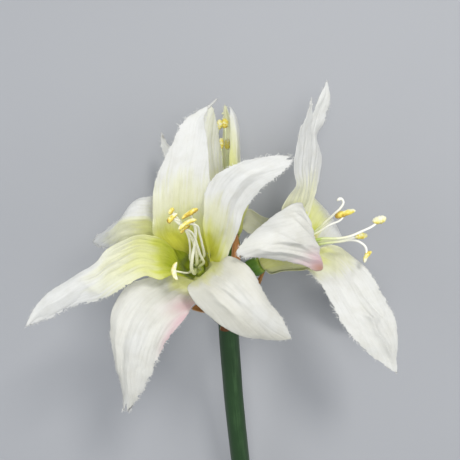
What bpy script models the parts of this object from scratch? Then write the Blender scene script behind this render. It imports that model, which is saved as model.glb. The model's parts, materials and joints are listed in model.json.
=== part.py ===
"""Artificial amaryllis stem: three fabric blooms on one plastic stem, cut short and lying on a surface.

Frame: +Z up, the stem runs towards -Y and the open front bloom looks up. The
origin is under the middle of the whole piece, on the surface it lies on.
All working lengths are millimetres; meshes are written in metres.

Most stations are laid out as a draughtsman would from above: u to the right
and v downwards on a drawing board, with h the height above the board. The
board is seen from EYE_HEIGHT in perspective, so sight() turns (u, v, h) into
a point in space.
"""

import math

import bmesh
import bpy
import numpy as np

# ---- driving dimensions (mm) ------------------------------------------------
EYE_HEIGHT = 336.0        # eye above the board, which passes through the front bloom's mouth
BOARD_FOCAL = 560.0       # board units per unit of slope
BOARD_CENTRE = 230.0
SURFACE_H = -124.5        # the surface that the piece lies on
ORIGIN_X, ORIGIN_Y = -4.075, -76.966   # the board point below which the origin sits

STEM_DIAMETER = 14.0
WIRE_DIAMETER = 3.0
BORE_DIAMETER = 3.8
PEDICEL_DIAMETER = 6.0
PETAL_THICKNESS = 0.8
BRACT_THICKNESS = 0.8
TIP_WIDTH = 1.6
GAP = 0.35

RING = ((0.0, 6.0, 5.0), (12.0, 9.2, 8.0), (28.0, 14.8, 13.4))  # along axis, radius, petal width

# ---- clear the scene --------------------------------------------------------
for old in list(bpy.data.objects):
    bpy.data.objects.remove(old)


# ---- small helpers ----------------------------------------------------------
def sight(u, v, h):
    scale = (EYE_HEIGHT - h) / BOARD_FOCAL
    return np.array([
        (u - BOARD_CENTRE) * scale - ORIGIN_X,
        (BOARD_CENTRE - v) * scale - ORIGIN_Y,
        h - SURFACE_H,
    ])


def unit(v):
    v = np.asarray(v, float)
    return v / np.linalg.norm(v)


def square_to(v, axis):
    v = np.asarray(v, float)
    return unit(v - np.dot(v, axis) * axis)


def hermite(points, knots, at):
    """A smooth curve through the points, which are reached at the knots."""
    points = np.asarray(points, float)
    step = np.diff(knots)[:, None]
    slope = np.diff(points, axis=0) / step
    tangent = np.empty_like(points)
    tangent[0], tangent[-1] = slope[0], slope[-1]
    tangent[1:-1] = (slope[:-1] * step[1:] + slope[1:] * step[:-1]) / (step[1:] + step[:-1])
    out = []
    for t in at:
        i = int(np.clip(np.searchsorted(knots, t) - 1, 0, len(knots) - 2))
        w = knots[i + 1] - knots[i]
        s = (t - knots[i]) / w
        out.append(
            (2 * s**3 - 3 * s**2 + 1) * points[i]
            + (s**3 - 2 * s**2 + s) * w * tangent[i]
            + (3 * s**2 - 2 * s**3) * points[i + 1]
            + (s**3 - s**2) * w * tangent[i + 1]
        )
    return np.array(out)


def chord_knots(points):
    return np.concatenate([[0.0], np.cumsum(np.linalg.norm(np.diff(points, axis=0), axis=1))])


def material(name, colour, roughness, metallic=0.0):
    made = bpy.data.materials.new(name)
    made.use_nodes = True
    shader = made.node_tree.nodes["Principled BSDF"]
    shader.inputs["Base Color"].default_value = (*colour, 1.0)
    shader.inputs["Roughness"].default_value = roughness
    shader.inputs["Metallic"].default_value = metallic
    return made


def mesh_object(name, verts, faces, colour, roughness, metallic=0.0):
    data = bpy.data.meshes.new(name)
    data.from_pydata([tuple(v) for v in np.asarray(verts) * 0.001], [], faces)
    shape = bmesh.new()
    shape.from_mesh(data)
    bmesh.ops.recalc_face_normals(shape, faces=shape.faces)
    if shape.calc_volume(signed=True) < 0:
        bmesh.ops.reverse_faces(shape, faces=shape.faces)
    shape.to_mesh(data)
    shape.free()
    data.shade_smooth()
    made = bpy.data.objects.new(name, data)
    bpy.context.scene.collection.objects.link(made)
    data.materials.append(material("mat_" + name, colour, roughness, metallic))
    return made


# ---- blooms: where each one sits and looks ----------------------------------
class Bloom:
    """A bloom's frame: the ring that its petals rise from, its axis, and the directions of azimuth 0 and 90."""

    def __init__(self, base, axis, zero, ninety):
        self.base = sight(*base)
        self.axis = unit(axis)
        self.e1 = square_to(zero, self.axis)
        self.e2 = square_to(ninety, self.axis)

    def radial(self, azimuth):
        a = math.radians(azimuth)
        return unit(self.e1 * math.cos(a) + self.e2 * math.sin(a))

    def at(self, along, radius=0.0, azimuth=0.0):
        return self.base + self.axis * along + self.radial(azimuth) * radius

    def ring_station(self, azimuth, along, radius, width):
        half = math.degrees(0.5 * width / radius)
        return [self.at(along, radius, azimuth + s * half) for s in (1, 0, -1)]


BLOOMS = {
    "a": Bloom((199, 270, -40), (-0.13, 0.33, 0.93), (1, 0, 0), (0, 1, 0)),
    "b": Bloom((231, 238, -68), (-0.08, 0.92, -0.38), (1, 0, 0), (0, 0, 1)),
    "c": Bloom((262, 264, -48), (0.846, 0.42, 0.327), (0, 0, 1), (0, 1, 0)),
}


# ---- petals -----------------------------------------------------------------
# bloom, azimuth of its base, rings used, then stations of (one edge, midrib, other edge)
PETALS = {
    "petal_a1": ("a", 95, 2, (
        ((173, 247, -14), (187, 242, -22), (199.5, 245, -21)),
        ((156, 236, -4), (181, 231, -13), (207, 231, -9)),
        ((152.8, 215, 2), (181, 210, -4), (210, 208, -1)),
        ((153, 196, 5), (182, 192, 0), (211, 190, 2)),
        ((157, 175, 7), (183, 172, 2), (209, 171, 4)),
        ((166, 156, 7), (187, 153, 3), (208, 153, 5)),
        ((177, 134, 6), (191, 133, 3), (205.5, 133, 5)),
        ((183, 122, 4), (194, 120, 2.5), (204.2, 120, 4)),
        ((196, 112, 2), (201, 112, 1.5), (206, 113, 2)),
    ), (207.5, 106.5, 0)),
    "petal_a2": ("a", 35, 2, (
        ((207, 249, -14), (213.5, 253, -21), (219, 260, -20)),
        ((203, 228, 0), (219, 236, -9), (232, 251, -11)),
        ((204, 210, 7), (223, 217, -1), (239, 229, -6)),
        ((205, 193, 11), (227, 200, 4), (244, 212, -3)),
        ((213, 178, 13), (235, 186, 7), (251, 201, 0)),
        ((229, 167, 13), (247, 175, 9), (263, 187, 4)),
        ((249, 159.5, 11), (262, 167, 8), (275, 178.5, 5)),
        ((270, 156, 8), (278, 161, 6), (285, 170.5, 4)),
    ), (293, 157, 2)),
    "petal_a3": ("a", -25, 2, (
        ((219, 262, -15), (209, 270, -14), (197, 280, -17)),
        ((230, 256, -2), (214, 277, 0), (187.5, 288, -6)),
        ((245, 264, 4), (227, 285, 9), (195, 303, 0)),
        ((256, 277, 6), (240, 296, 12), (211, 318, 3)),
        ((264, 293, 6), (252, 308, 11), (226, 328.5, 3)),
        ((271, 305, 3), (263, 319, 7), (241, 335.5, 1)),
        ((280, 315, 0), (273, 328, 2), (256, 339.3, -2)),
        ((287, 328, -4), (283, 334, -3), (275, 340.2, -5)),
    ), (291, 338.5, -8)),
    "petal_a4": ("a", 275, 2, (
        ((199, 291, -21), (185, 287, -29), (170, 278, -27)),
        ((193, 306, -14), (168, 297, -16), (149, 277, -17)),
        ((184, 320, -9), (153, 309, -7), (126, 287, -9)),
        ((171, 335, -7), (142, 324, -2), (112, 309, -6)),
        ((162, 350, -6), (135, 341, 0), (110, 326, -5)),
        ((155, 365, -6), (131, 357, -1), (112.5, 345, -6)),
        ((148, 380, -8), (129, 374, -4), (117, 366, -8)),
        ((140, 395, -11), (129, 392, -8), (121.5, 387, -11)),
    ), (126, 411, -15)),
    "petal_a5": ("a", 215, 2, (
        ((174, 275, -18), (170, 262, -20), (171, 246, -12)),
        ((159, 279.5, -7), (154, 258, -7), (152, 236, 1)),
        ((146, 276, -2), (139, 256, -1), (137, 236, 5)),
        ((131, 282.5, 3), (125, 262, 4), (121, 241.5, 8)),
        ((117, 291.5, 6), (110, 270, 8), (106, 250, 9)),
        ((102, 299, 8), (97, 279, 12), (96, 262, 10)),
        ((86, 303, 9), (82, 285, 13), (81, 271.5, 11)),
        ((67, 308.5, 9), (64, 296, 13), (63, 283.5, 11)),
        ((48, 319, 9), (47, 306, 12), (47, 294, 11)),
        ((35, 323.5, 10), (35, 316, 11), (34, 309, 11)),
    ), (26, 326, 11)),
    "petal_a6": ("a", 155, 2, (
        ((168, 254, -24), (167, 241, -22), (172, 230, -22)),
        ((150, 247, -18), (150, 220, -10), (155, 201, -13)),
        ((137, 247, -16), (137, 219, -6), (145, 197.5, -11)),
        ((125, 248, -17), (126, 220, -7), (136, 200, -12)),
        ((114, 248.5, -21), (115, 229, -13), (122, 217.5, -17)),
        ((104, 246, -28), (104, 236, -24), (109, 227.5, -26)),
    ), (93.5, 241, -38)),
    "petal_b1": ("b", 170, 3, (
        ((190, 186, -70), (197, 181, -82), (206, 177, -92)),
        ((176, 171, -73), (184, 166, -84), (193, 161, -93)),
        ((165, 157, -79), (173, 152, -87), (181, 148, -93)),
        ((161.3, 145, -86), (165, 144, -89), (169, 145, -92)),
    ), (161.5, 133, -93)),
    "petal_b2": ("b", 110, 3, (
        ((198, 180, -58), (209, 179, -56), (221.5, 180, -66)),
        ((193, 166, -56), (207, 166, -53), (222, 166, -63)),
        ((192, 150, -55), (206, 150, -51), (221, 150, -60)),
        ((195, 133, -55), (206, 133, -51), (218.4, 133, -58)),
        ((201, 118, -54), (208, 118, -52), (215.2, 117.5, -55)),
    ), (211, 106, -52)),
    "petal_b3": ("b", 290, 3, (
        ((221, 186, -96), (231, 185, -104), (242, 185, -98)),
        ((221, 162, -98), (230, 161, -107), (239, 160, -98)),
        ((222.5, 138, -98), (229, 138, -104), (236, 138, -97)),
        ((223, 122, -97), (227, 121, -101), (232, 121, -97)),
    ), (225, 105.5, -97)),
    "petal_b4": ("b", 50, 3, (
        ((230, 180, -62), (240, 180, -66), (243, 180, -84)),
        ((229.5, 162, -60), (238.5, 162, -63), (240, 161, -82)),
        ((230, 142, -60), (238, 143, -63), (240, 144, -76)),
        ((230, 126, -60), (236.6, 127, -62), (239, 128, -71)),
        ((229.8, 115, -60), (234, 115, -61), (236.6, 116, -65)),
    ), (230.2, 106.8, -62)),
    "petal_b5": ("b", -10, 2, (
        ((247, 210.5, -76), (249, 220, -80), (247, 230, -77)),
        ((262, 217, -80), (261, 226, -86), (258, 234, -84)),
        ((278, 220, -88), (276, 232, -94), (272, 245, -92)),
        ((293, 226, -97), (291, 241, -101), (286, 256, -98)),
        ((304, 238, -104), (302, 249, -107), (297, 258, -105)),
    ), (310, 256, -109)),
    "petal_b6": ("b", 230, 3, (
        ((201, 202, -97), (210, 196, -103), (220, 192, -104)),
        ((186, 194, -108), (198, 186, -114), (210, 180, -115)),
        ((175, 184, -116), (187, 177, -120), (198, 170, -121)),
    ), (171, 167, -123.6)),
    "petal_c1": ("c", 122, 3, (
        ((301, 201, -42), (307, 199, -52), (314, 197, -56)),
        ((301, 186, -40), (309, 185, -52), (317.4, 185, -60)),
        ((303, 166, -39), (312, 165, -52), (322, 163, -63)),
        ((306, 150, -40), (314, 148, -50), (320.5, 149, -61)),
        ((308, 136, -42), (313, 136, -49), (317, 136, -56)),
        ((310, 124, -43), (316, 123, -48), (323.5, 124, -53)),
        ((314, 111, -44), (320, 110, -48), (327, 110.5, -52)),
        ((319, 98, -45), (325, 97, -47), (330, 97, -50)),
    ), (327, 81, -48)),
    "petal_c2": ("c", 62, 3, (
        ((286, 206.5, -14), (298, 203.5, -23), (307, 200, -33)),
        ((290.5, 195.5, -12), (300.5, 194.5, -22), (308.5, 193, -33)),
        ((296.5, 187, -9), (303, 186, -21), (310, 186, -33)),
        ((294.5, 170, -4), (302, 170, -19), (311, 169, -33)),
        ((296.5, 148, -5), (303.5, 149, -18), (312, 148, -31)),
        ((299.6, 130, -9), (305.5, 130, -19), (311.5, 130, -29)),
        ((306, 117, -16), (309, 117, -21), (312.5, 117, -26)),
    ), (311.7, 99, -22)),
    "petal_c3": ("c", 2, 3, (
        ((298, 222, -20), (305, 237, -17), (312, 256, -23)),
        ((303.5, 206, -13), (314, 235, -8), (322.5, 264, -16)),
        ((295, 203, -5), (305, 234, 1), (312, 267, -7)),
        ((281, 210, -1), (289, 238, 8), (292, 263, -2)),
        ((266, 221, 2), (272, 243, 12), (274, 260, 3)),
        ((253, 233, 7), (256, 247, 13), (257, 258.5, 7)),
        ((243, 243, 9), (245, 250, 11), (246, 257.5, 9)),
    ), (236, 253.6, 9)),
    "petal_c4": ("c", 305, 3, (
        ((309, 268, -29), (320, 261, -36), (333, 246, -42)),
        ((315, 276, -25), (333, 268, -31), (352, 256.5, -37)),
        ((322, 286, -20), (344, 280, -24), (368, 270, -31)),
        ((331, 302, -16), (354, 296, -20), (379, 287, -27)),
        ((340, 320, -14), (364, 313, -18), (389, 305, -25)),
        ((351, 335, -14), (375, 331, -19), (396, 322, -25)),
        ((363, 348, -16), (384, 346, -21), (397.5, 341, -26)),
        ((380, 361, -20), (390, 360, -24), (396.3, 358, -27)),
    ), (396.5, 373, -25)),
    "petal_c5": ("c", 185, 3, (
        ((313, 200, -60), (325, 217, -66), (338, 234, -60)),
        ((316, 200, -76), (329, 216, -82), (340, 234, -76)),
        ((320, 204, -92), (331, 216, -98), (339, 232, -92)),
        ((324, 209, -108), (330, 217, -112), (335, 226, -108)),
    ), (328, 217, -123.6)),
    "petal_c6": ("c", 245, 3, (
        ((312, 266, -64), (322, 260, -70), (332, 250, -72)),
        ((320, 279, -76), (334, 272, -82), (344, 259, -84)),
        ((328, 291, -86), (344, 286, -92), (356, 271, -94)),
        ((337, 305, -94), (353, 299, -99), (366, 285, -101)),
        ((347, 316, -99), (359, 311, -103), (370, 301, -105)),
    ), (366, 322, -105)),
}
ON_SURFACE = ("petal_b6", "petal_c5")   # their tips carry the blooms' weight on the surface

WHITE = (0.80, 0.80, 0.74)


def petal_lines(bloom, azimuth, rings, stations, tip):
    """The petal's two edges and its midrib, as arrays of points from base to tip."""
    frame = BLOOMS[bloom]
    rows = [frame.ring_station(azimuth, *RING[i]) for i in range(rings)]
    first = [sight(*p) for p in stations[0]]
    if np.linalg.norm(first[0] - rows[-1][0]) > np.linalg.norm(first[0] - rows[-1][2]):
        rows = [row[::-1] for row in rows]
    rows += [[sight(*p) for p in row] for row in stations]
    across = unit(rows[-1][0] - rows[-1][2])
    end = sight(*tip)
    rows.append([end + across * TIP_WIDTH / 2, end, end - across * TIP_WIDTH / 2])
    return np.array(rows)


def petal_surface(lines, count_u, count_v):
    knots = chord_knots(lines[:, 1])
    at = np.linspace(0, knots[-1], count_u)
    left, mid, right = (hermite(lines[:, k], knots, at) for k in range(3))
    v = np.linspace(0, 1, count_v)[None, :, None]
    return (
        left[:, None] * (1 - v) * (1 - 2 * v)
        + mid[:, None] * 4 * v * (1 - v)
        + right[:, None] * v * (2 * v - 1)
    )


def surface_normals(grid):
    along = np.gradient(grid, axis=0)
    across = np.gradient(grid, axis=1)
    n = np.cross(along, across)
    return n / np.linalg.norm(n, axis=2, keepdims=True)


def sheet_solid(grid, thickness):
    """Vertices and faces of a closed sheet of this thickness about the grid."""
    n = surface_normals(grid) * thickness / 2
    rows, cols = grid.shape[:2]
    verts = np.concatenate([(grid + n).reshape(-1, 3), (grid - n).reshape(-1, 3)])
    low = rows * cols

    def i(r, c):
        return r * cols + c

    faces = []
    for r in range(rows - 1):
        for c in range(cols - 1):
            quad = (i(r, c), i(r + 1, c), i(r + 1, c + 1), i(r, c + 1))
            faces.append(quad)
            faces.append(tuple(q + low for q in reversed(quad)))
    rim = (
        [i(0, c) for c in range(cols)]
        + [i(r, cols - 1) for r in range(1, rows)]
        + [i(rows - 1, c) for c in range(cols - 2, -1, -1)]
        + [i(r, 0) for r in range(rows - 2, 0, -1)]
    )
    for k, a in enumerate(rim):
        b = rim[(k + 1) % len(rim)]
        faces.append((a, b, b + low, a + low))
    return verts, faces


def make_petal(name, spec):
    lines = petal_lines(*spec)
    grid = petal_surface(lines, 13, 5)
    verts, faces = sheet_solid(grid, PETAL_THICKNESS)
    if name in ON_SURFACE:
        reach = np.concatenate([np.linspace(0, 1, 13)[:, None].repeat(5, 1).ravel()] * 2)
        verts[:, 2] -= verts[:, 2].min() * np.clip((reach - 0.5) / 0.5, 0, 1) ** 2
    return mesh_object(name, verts, faces, WHITE, 0.75)


# ---- tubes and turned shapes ------------------------------------------------
def frames_along(path):
    tangents = np.gradient(path, axis=0)
    tangents /= np.linalg.norm(tangents, axis=1, keepdims=True)
    side = square_to((0.31, 0.17, 0.93), tangents[0])
    out = []
    for t in tangents:
        side = square_to(side, t)
        out.append((side, np.cross(t, side)))
    return out


def rings_along(path, radii, sides):
    rows = []
    for point, radius, (a, b) in zip(path, radii, frames_along(path)):
        turn = np.linspace(0, 2 * math.pi, sides, endpoint=False)[:, None]
        rows.append(point + radius * (np.cos(turn) * a + np.sin(turn) * b))
    return np.array(rows)


def tube_mesh(path, radii, sides):
    rows = rings_along(path, radii, sides)
    count = len(rows)
    faces = [
        (r * sides + s, r * sides + (s + 1) % sides, (r + 1) * sides + (s + 1) % sides, (r + 1) * sides + s)
        for r in range(count - 1)
        for s in range(sides)
    ]
    faces.append(tuple(range(sides - 1, -1, -1)))
    faces.append(tuple((count - 1) * sides + s for s in range(sides)))
    return rows.reshape(-1, 3), faces


def smooth_path(points, count):
    points = np.asarray(points, float)
    knots = chord_knots(points)
    return hermite(points, knots, np.linspace(0, knots[-1], count))


def make_tube(name, points, radius, count, sides, colour, roughness, metallic=0.0):
    path = smooth_path(points, count)
    radii = np.interp(np.linspace(0, 1, count), np.linspace(0, 1, len(radius)), radius)
    return mesh_object(name, *tube_mesh(path, radii, sides), colour, roughness, metallic)


# ---- stem, wire and the three pedicels --------------------------------------
STEM_GREEN = (0.035, 0.085, 0.03)
STEM_PATH = [sight(*p) for p in (
    (228.3, 319, -49), (229.3, 340, -54.5), (231.6, 370, -62), (233.6, 396, -68.5),
    (237, 430, -77), (241.5, 470, -87.5), (247, 512, -99), (252, 548, -110.6),
)]
stem_line = smooth_path(STEM_PATH, 15)
stem_down = unit(stem_line[-1] - stem_line[-2])
stem_up = unit(stem_line[0] - stem_line[1])
# the cut end's lowest corner meets the surface
drop = math.sqrt(1 - stem_down[2] ** 2) * STEM_DIAMETER / 2
stem_line[:, 2] += (drop - stem_line[-1, 2]) * np.linspace(0, 1, 15) ** 1.5


def make_sleeve():
    sides = 16
    outer = rings_along(stem_line, [STEM_DIAMETER / 2] * 15, sides)
    inner = rings_along(stem_line, [BORE_DIAMETER / 2] * 15, sides)
    outer[..., 2] -= outer[..., 2].min() * np.linspace(0, 1, 15)[:, None] ** 3
    verts = np.concatenate([outer.reshape(-1, 3), inner.reshape(-1, 3)])
    low = 15 * sides
    faces = []
    for r in range(14):
        for s in range(sides):
            a, b = r * sides + s, r * sides + (s + 1) % sides
            faces.append((a, b, b + sides, a + sides))
            faces.append((a + low + sides, b + low + sides, b + low, a + low))
    for s in range(sides):
        a, b = s, (s + 1) % sides
        faces.append((b, a, a + low, b + low))
        a, b = 14 * sides + s, 14 * sides + (s + 1) % sides
        faces.append((a, b, b + low, a + low))
    return mesh_object("stem_sleeve", verts, faces, STEM_GREEN, 0.45)


make_sleeve()
wire_line = smooth_path(stem_line, 15)
make_tube("stem_wire", wire_line, [WIRE_DIAMETER / 2], 15, 8, (0.45, 0.46, 0.47), 0.4, 1.0)

TOP = stem_line[0] + stem_up * 2 * GAP
side_x = square_to((1, 0, 0), stem_up)
side_z = square_to((0, 0, 1), stem_up)
PEDICELS = {
    "a": (150, 3.62), "b": (270, 3.62), "c": (30, 3.62),
}
for key, (turn, radius) in PEDICELS.items():
    frame = BLOOMS[key]
    out = side_x * math.cos(math.radians(turn)) + side_z * math.sin(math.radians(turn))
    start = TOP + out * radius
    foot = frame.at(-16.0 - GAP)
    middle = {
        "a": (start + stem_up * 9 + out * 1.0, foot - frame.axis * 7),
        "b": (start + stem_up * 12 + out * 7.0, foot - frame.axis * 12 + np.array([0, 0, -4.0]), foot - frame.axis * 3),
        "c": (start + stem_up * 10 + out * 3.6, foot - frame.axis * 6.5 + np.array([1.2, -1.8, 1.7]), foot - frame.axis * 3),
    }[key]
    make_tube("pedicel_" + key, [start, start + stem_up * 3, *middle, foot], [PEDICEL_DIAMETER / 2], 12, 10, STEM_GREEN, 0.5)
    make_tube(
        "ovary_" + key,
        [frame.at(d) for d in (-16, -12.8, -9.6, -6.4, -3.2, -GAP)],
        [3.4, 5.4, 6.6, 6.8, 6.2, 5.2], 6, 14, (0.10, 0.24, 0.03), 0.5,
    )
    make_tube(
        "throat_boss_" + key,
        [frame.at(d) for d in (0, 3, 6)], [4.6, 4.4, 4.0], 3, 12, (0.45, 0.55, 0.10), 0.6,
    )


# ---- stamens and styles -----------------------------------------------------
# bloom, place on the boss, filament points, anther (centre, towards, length, radius) or None for a style
FILAMENT = 0.85
STAMENS = {
    "stamen_a1": ("a", 150, ((190, 258, -13), (190, 246, -1), (188, 236, 8), (183.8, 228, 15), (179, 221, 19)),
                  ((172, 217.8, 20.5), (176.4, 213.4, 20.5), 7.4, 1.4)),
    "stamen_a2": ("a", 270, ((194.5, 273.5, -20), (191.5, 267, -10), (192, 258, -3), (194, 248, 1), (195.2, 238, 5.5),
                            (195, 228, 11), (192, 218, 18)),
                  ((189.6, 213.4, 22.5), (197.5, 208.7, 22.5), 10.8, 1.35)),
    "stamen_a3": ("a", 30, ((204.2, 254, -10), (202, 244, 3), (199, 233, 13), (196.5, 225, 21)),
                  ((187, 223.3, 25.5), (196, 218.2, 25.5), 11.4, 1.25)),
    "stamen_a4": ("a", 210, ((190, 272, -20), (184.5, 273, -9), (179.5, 271.5, 0)),
                  ((174.6, 271, 3), (174.4, 262, 3.5), 10.8, 1.5)),
    "stamen_a5": ("a", 330, ((203.5, 262, -14), (200.5, 255, -4), (197.5, 246, 5), (194, 236, 13), (189.5, 230.8, 18)),
                  ((184.6, 228.8, 21), (190, 224.6, 21), 6.8, 1.15)),
    "stamen_a6": ("a", 90, ((197.5, 257, -22), (195, 247, -13), (190.5, 237.5, -5), (184, 228, 2), (177.5, 218.5, 7.5)),
                  ((171, 211, 11.5), (173.5, 207.6, 11.5), 4.6, 1.35)),
    "style_a": ("a", None, ((197, 263, -20), (195, 250, -8), (192.3, 239, 1), (186, 229.5, 8), (177, 221.5, 12), (170.5, 216, 14)), None),
    "stamen_b1": ("b", 150, ((222, 188, -82), (218.6, 160, -82), (217, 138, -81)),
                  ((219.4, 124.6, -80), (219.9, 119, -79.5), 7.4, 1.8)),
    "stamen_b2": ("b", 300, ((228, 190, -88), (227, 160, -88), (225.4, 131, -87)),
                  ((224.8, 123.6, -87), (225.4, 118, -87), 7.4, 2.0)),
    "stamen_b3": ("b", 100, ((224.5, 188, -76), (222.6, 165, -75.5), (221.4, 152, -75)),
                  ((221.2, 143.6, -75), (221.2, 138, -75), 8.0, 1.6)),
    "stamen_b4": ("b", 40, ((229.5, 188, -78), (228.6, 165, -79), (227.9, 152, -79)),
                  ((227.4, 144, -79), (227.8, 138, -79), 8.0, 2.0)),
    "stamen_b5": ("b", 250, ((225, 192, -92), (221, 170, -94), (216, 152, -94)),
                  ((214, 146, -94), (213, 140, -94), 8.0, 1.9)),
    "style_b": ("b", None, ((234, 200, -81.5), (235.5, 172, -85), (236, 150, -90), (236, 139, -91)), None),
    "style_c": ("c", None, ((299, 244, -34.5), (316, 231, -31), (327, 220.5, -27), (334.7, 214, -24),
                          (340.6, 208, -23), (343.4, 202, -22.4), (341, 198.6, -22), (337, 200.6, -22)), None),
    "stamen_c1": ("c", 55, ((298, 241.5, -27.5), (316, 233, -24), (331, 224.4, -20), (341.5, 219, -19)),
                  ((345, 213.5, -18.5), (355, 210.2, -17), 13.4, 2.1)),
    "stamen_c2": ("c", 350, ((298, 250, -28), (316, 240, -24), (337, 238.5, -20), (347.5, 237, -18),
                           (363, 230.5, -16), (375, 224.2, -15)),
                  ((379.3, 219.8, -14.5), (388, 217.6, -14), 8.8, 2.4)),
    "stamen_c3": ("c", 180, ((303, 247, -42), (320, 241, -36), (340, 239.5, -32), (353, 238, -29)),
                  ((361.2, 236, -27), (372, 234.4, -27), 8.0, 2.05)),
    "stamen_c4": ("c", 290, ((301, 253, -36), (320, 244, -31), (340, 241.5, -27), (350, 240.2, -25),
                             (359, 241.5, -24), (365.5, 246.5, -23.5)),
                  ((366.8, 256.3, -23), (363.4, 262, -23), 8.6, 1.45)),
    "stamen_c5": ("c", 130, ((302, 243, -45), (309, 239.5, -45)),
                  ((314, 237.6, -44.4), (319, 236, -44), 5.4, 1.3)),
}
PLASTIC = (0.85, 0.80, 0.45)


def ellipsoid(centre, axis, length, radius):
    """A capsule-like grain sac about an axis."""
    share = np.array([-1, -0.82, -0.4, 0.4, 0.82, 1])
    size = np.array([0.35, 0.8, 1.0, 1.0, 0.8, 0.35])
    path = centre + np.outer(share * length / 2, axis)
    return tube_mesh(path, size * radius, 8)


def make_stamen(name, spec):
    bloom, azimuth, points, anther = spec
    frame = BLOOMS[bloom]
    foot = frame.at(6 + GAP) if azimuth is None else frame.at(6 + GAP, 2.7, azimuth)
    path = [foot, foot + frame.axis * 5] + [sight(*p) for p in points]
    count = 7 + len(points)
    if anther is None:
        radii = [1.0] + [0.8] * (2 * count) + [0.9, 1.3, 1.0]
        return make_tube(name, path, radii, count + 4, 6, PLASTIC, 0.5)
    centre, towards = sight(*anther[0]), sight(*anther[1])
    body = make_tube(name, path + [centre], [FILAMENT], count, 6, PLASTIC, 0.5)
    verts, faces = ellipsoid(centre, unit(towards - centre), anther[2], anther[3])
    sac = mesh_object("sac_" + name, verts, faces, PLASTIC, 0.5)
    sac.hide_render = True
    sac.display_type = "WIRE"
    join = body.modifiers.new("anther", "BOOLEAN")
    join.operation = "UNION"
    join.object = sac
    return body


for name, spec in PETALS.items():
    make_petal(name, spec)
for name, spec in STAMENS.items():
    make_stamen(name, spec)


# ---- papery bracts at the top of the stem -----------------------------------
BROWN = (0.36, 0.17, 0.08)
BRACTS = {
    "bract_tall": (
        ((219.5, 329.5, -42), (225, 331.5, -40.5), (231, 330, -42.5)),
        ((222, 320, -38.5), (227.5, 318, -37.5), (233, 320, -39)),
        ((225, 300, -36), (231, 298, -34.5), (237, 300, -37)),
        ((229, 275, -41), (234.5, 273, -39.5), (239.5, 275, -42)),
        ((231.5, 254, -48), (236, 253, -47), (240.5, 255, -49)),
        ((233, 240, -53), (236, 240, -52.5), (239, 240, -53)),
        ((235, 229, -56), (235.6, 229, -56), (236.2, 229, -56)),
    ),
    "bract_right": (
        ((239, 326, -46), (242.5, 320, -52), (241, 313, -58)),
        ((247, 312, -46), (251, 306, -52), (250, 298, -58)),
        ((250, 298, -49), (256, 292, -54), (259.5, 284.5, -59)),
        ((254, 285, -54), (260, 279, -57), (264.5, 273, -60)),
        ((263, 270.5, -60.5), (264, 269.6, -60.8), (265, 269, -61)),
    ),
    "bract_left": (
        ((219, 324, -46), (215, 320, -52), (216, 313, -58)),
        ((209, 314, -43), (205, 309, -49), (206, 302, -55)),
        ((199.5, 312, -42), (197.8, 307.5, -46), (199, 302.5, -50)),
        ((191.5, 309.4, -42), (191.2, 308.6, -42.4), (191.4, 307.8, -42.8)),
    ),
}


def make_bract(name, stations):
    lines = np.array([[sight(*p) for p in row] for row in stations])
    verts, faces = sheet_solid(petal_surface(lines, 10, 4), BRACT_THICKNESS)
    return mesh_object(name, verts, faces, BROWN, 0.85)


for name, stations in BRACTS.items():
    make_bract(name, stations)
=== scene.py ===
"""Looks of the artificial amaryllis stem: fabric petals with veins, folds and frayed edges, moulded
stamens, papery bracts and a green plastic stem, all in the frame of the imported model.

Working lengths are millimetres and become metres when a mesh is made.
"""

import json
import math

import bpy
import numpy as np
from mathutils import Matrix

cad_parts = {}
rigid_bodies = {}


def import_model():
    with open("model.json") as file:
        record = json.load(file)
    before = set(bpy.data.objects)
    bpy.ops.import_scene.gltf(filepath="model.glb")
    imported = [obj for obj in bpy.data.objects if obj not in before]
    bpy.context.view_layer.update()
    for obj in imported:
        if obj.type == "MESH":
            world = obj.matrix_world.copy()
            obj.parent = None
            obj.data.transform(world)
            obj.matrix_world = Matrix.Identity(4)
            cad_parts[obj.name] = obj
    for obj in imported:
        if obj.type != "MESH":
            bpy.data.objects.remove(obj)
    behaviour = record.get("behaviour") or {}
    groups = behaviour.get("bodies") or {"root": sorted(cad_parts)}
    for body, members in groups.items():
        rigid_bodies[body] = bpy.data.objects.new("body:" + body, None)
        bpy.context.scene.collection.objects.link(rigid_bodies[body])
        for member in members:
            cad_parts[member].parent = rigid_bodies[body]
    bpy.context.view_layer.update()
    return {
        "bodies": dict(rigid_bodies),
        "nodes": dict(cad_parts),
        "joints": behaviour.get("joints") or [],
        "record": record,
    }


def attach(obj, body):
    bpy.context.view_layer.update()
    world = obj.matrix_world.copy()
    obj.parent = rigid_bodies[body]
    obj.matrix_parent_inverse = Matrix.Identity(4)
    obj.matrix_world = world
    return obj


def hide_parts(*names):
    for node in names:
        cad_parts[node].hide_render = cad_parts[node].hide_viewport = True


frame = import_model()

# ---- the drawing board that the stations are laid out on, as in the part ---------
EYE_HEIGHT = 336.0
BOARD_FOCAL = 560.0
BOARD_CENTRE = 230.0
SURFACE_H = -124.5
ORIGIN_X, ORIGIN_Y = -4.075, -76.966

STEM_DIAMETER = 14.0
WIRE_DIAMETER = 3.0
BORE_DIAMETER = 3.8
PEDICEL_DIAMETER = 6.0
GAP = 0.35

RING = ((0.0, 6.0, 5.0), (12.0, 9.2, 8.0), (28.0, 14.8, 13.4))  # along axis, radius, petal width


# ---- small helpers ----------------------------------------------------------------
def sight(u, v, h):
    scale = (EYE_HEIGHT - h) / BOARD_FOCAL
    return np.array([
        (u - BOARD_CENTRE) * scale - ORIGIN_X,
        (BOARD_CENTRE - v) * scale - ORIGIN_Y,
        h - SURFACE_H,
    ])


EYE = np.array([-ORIGIN_X, -ORIGIN_Y, EYE_HEIGHT - SURFACE_H])


def unit(v):
    v = np.asarray(v, float)
    return v / np.linalg.norm(v)


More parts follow.
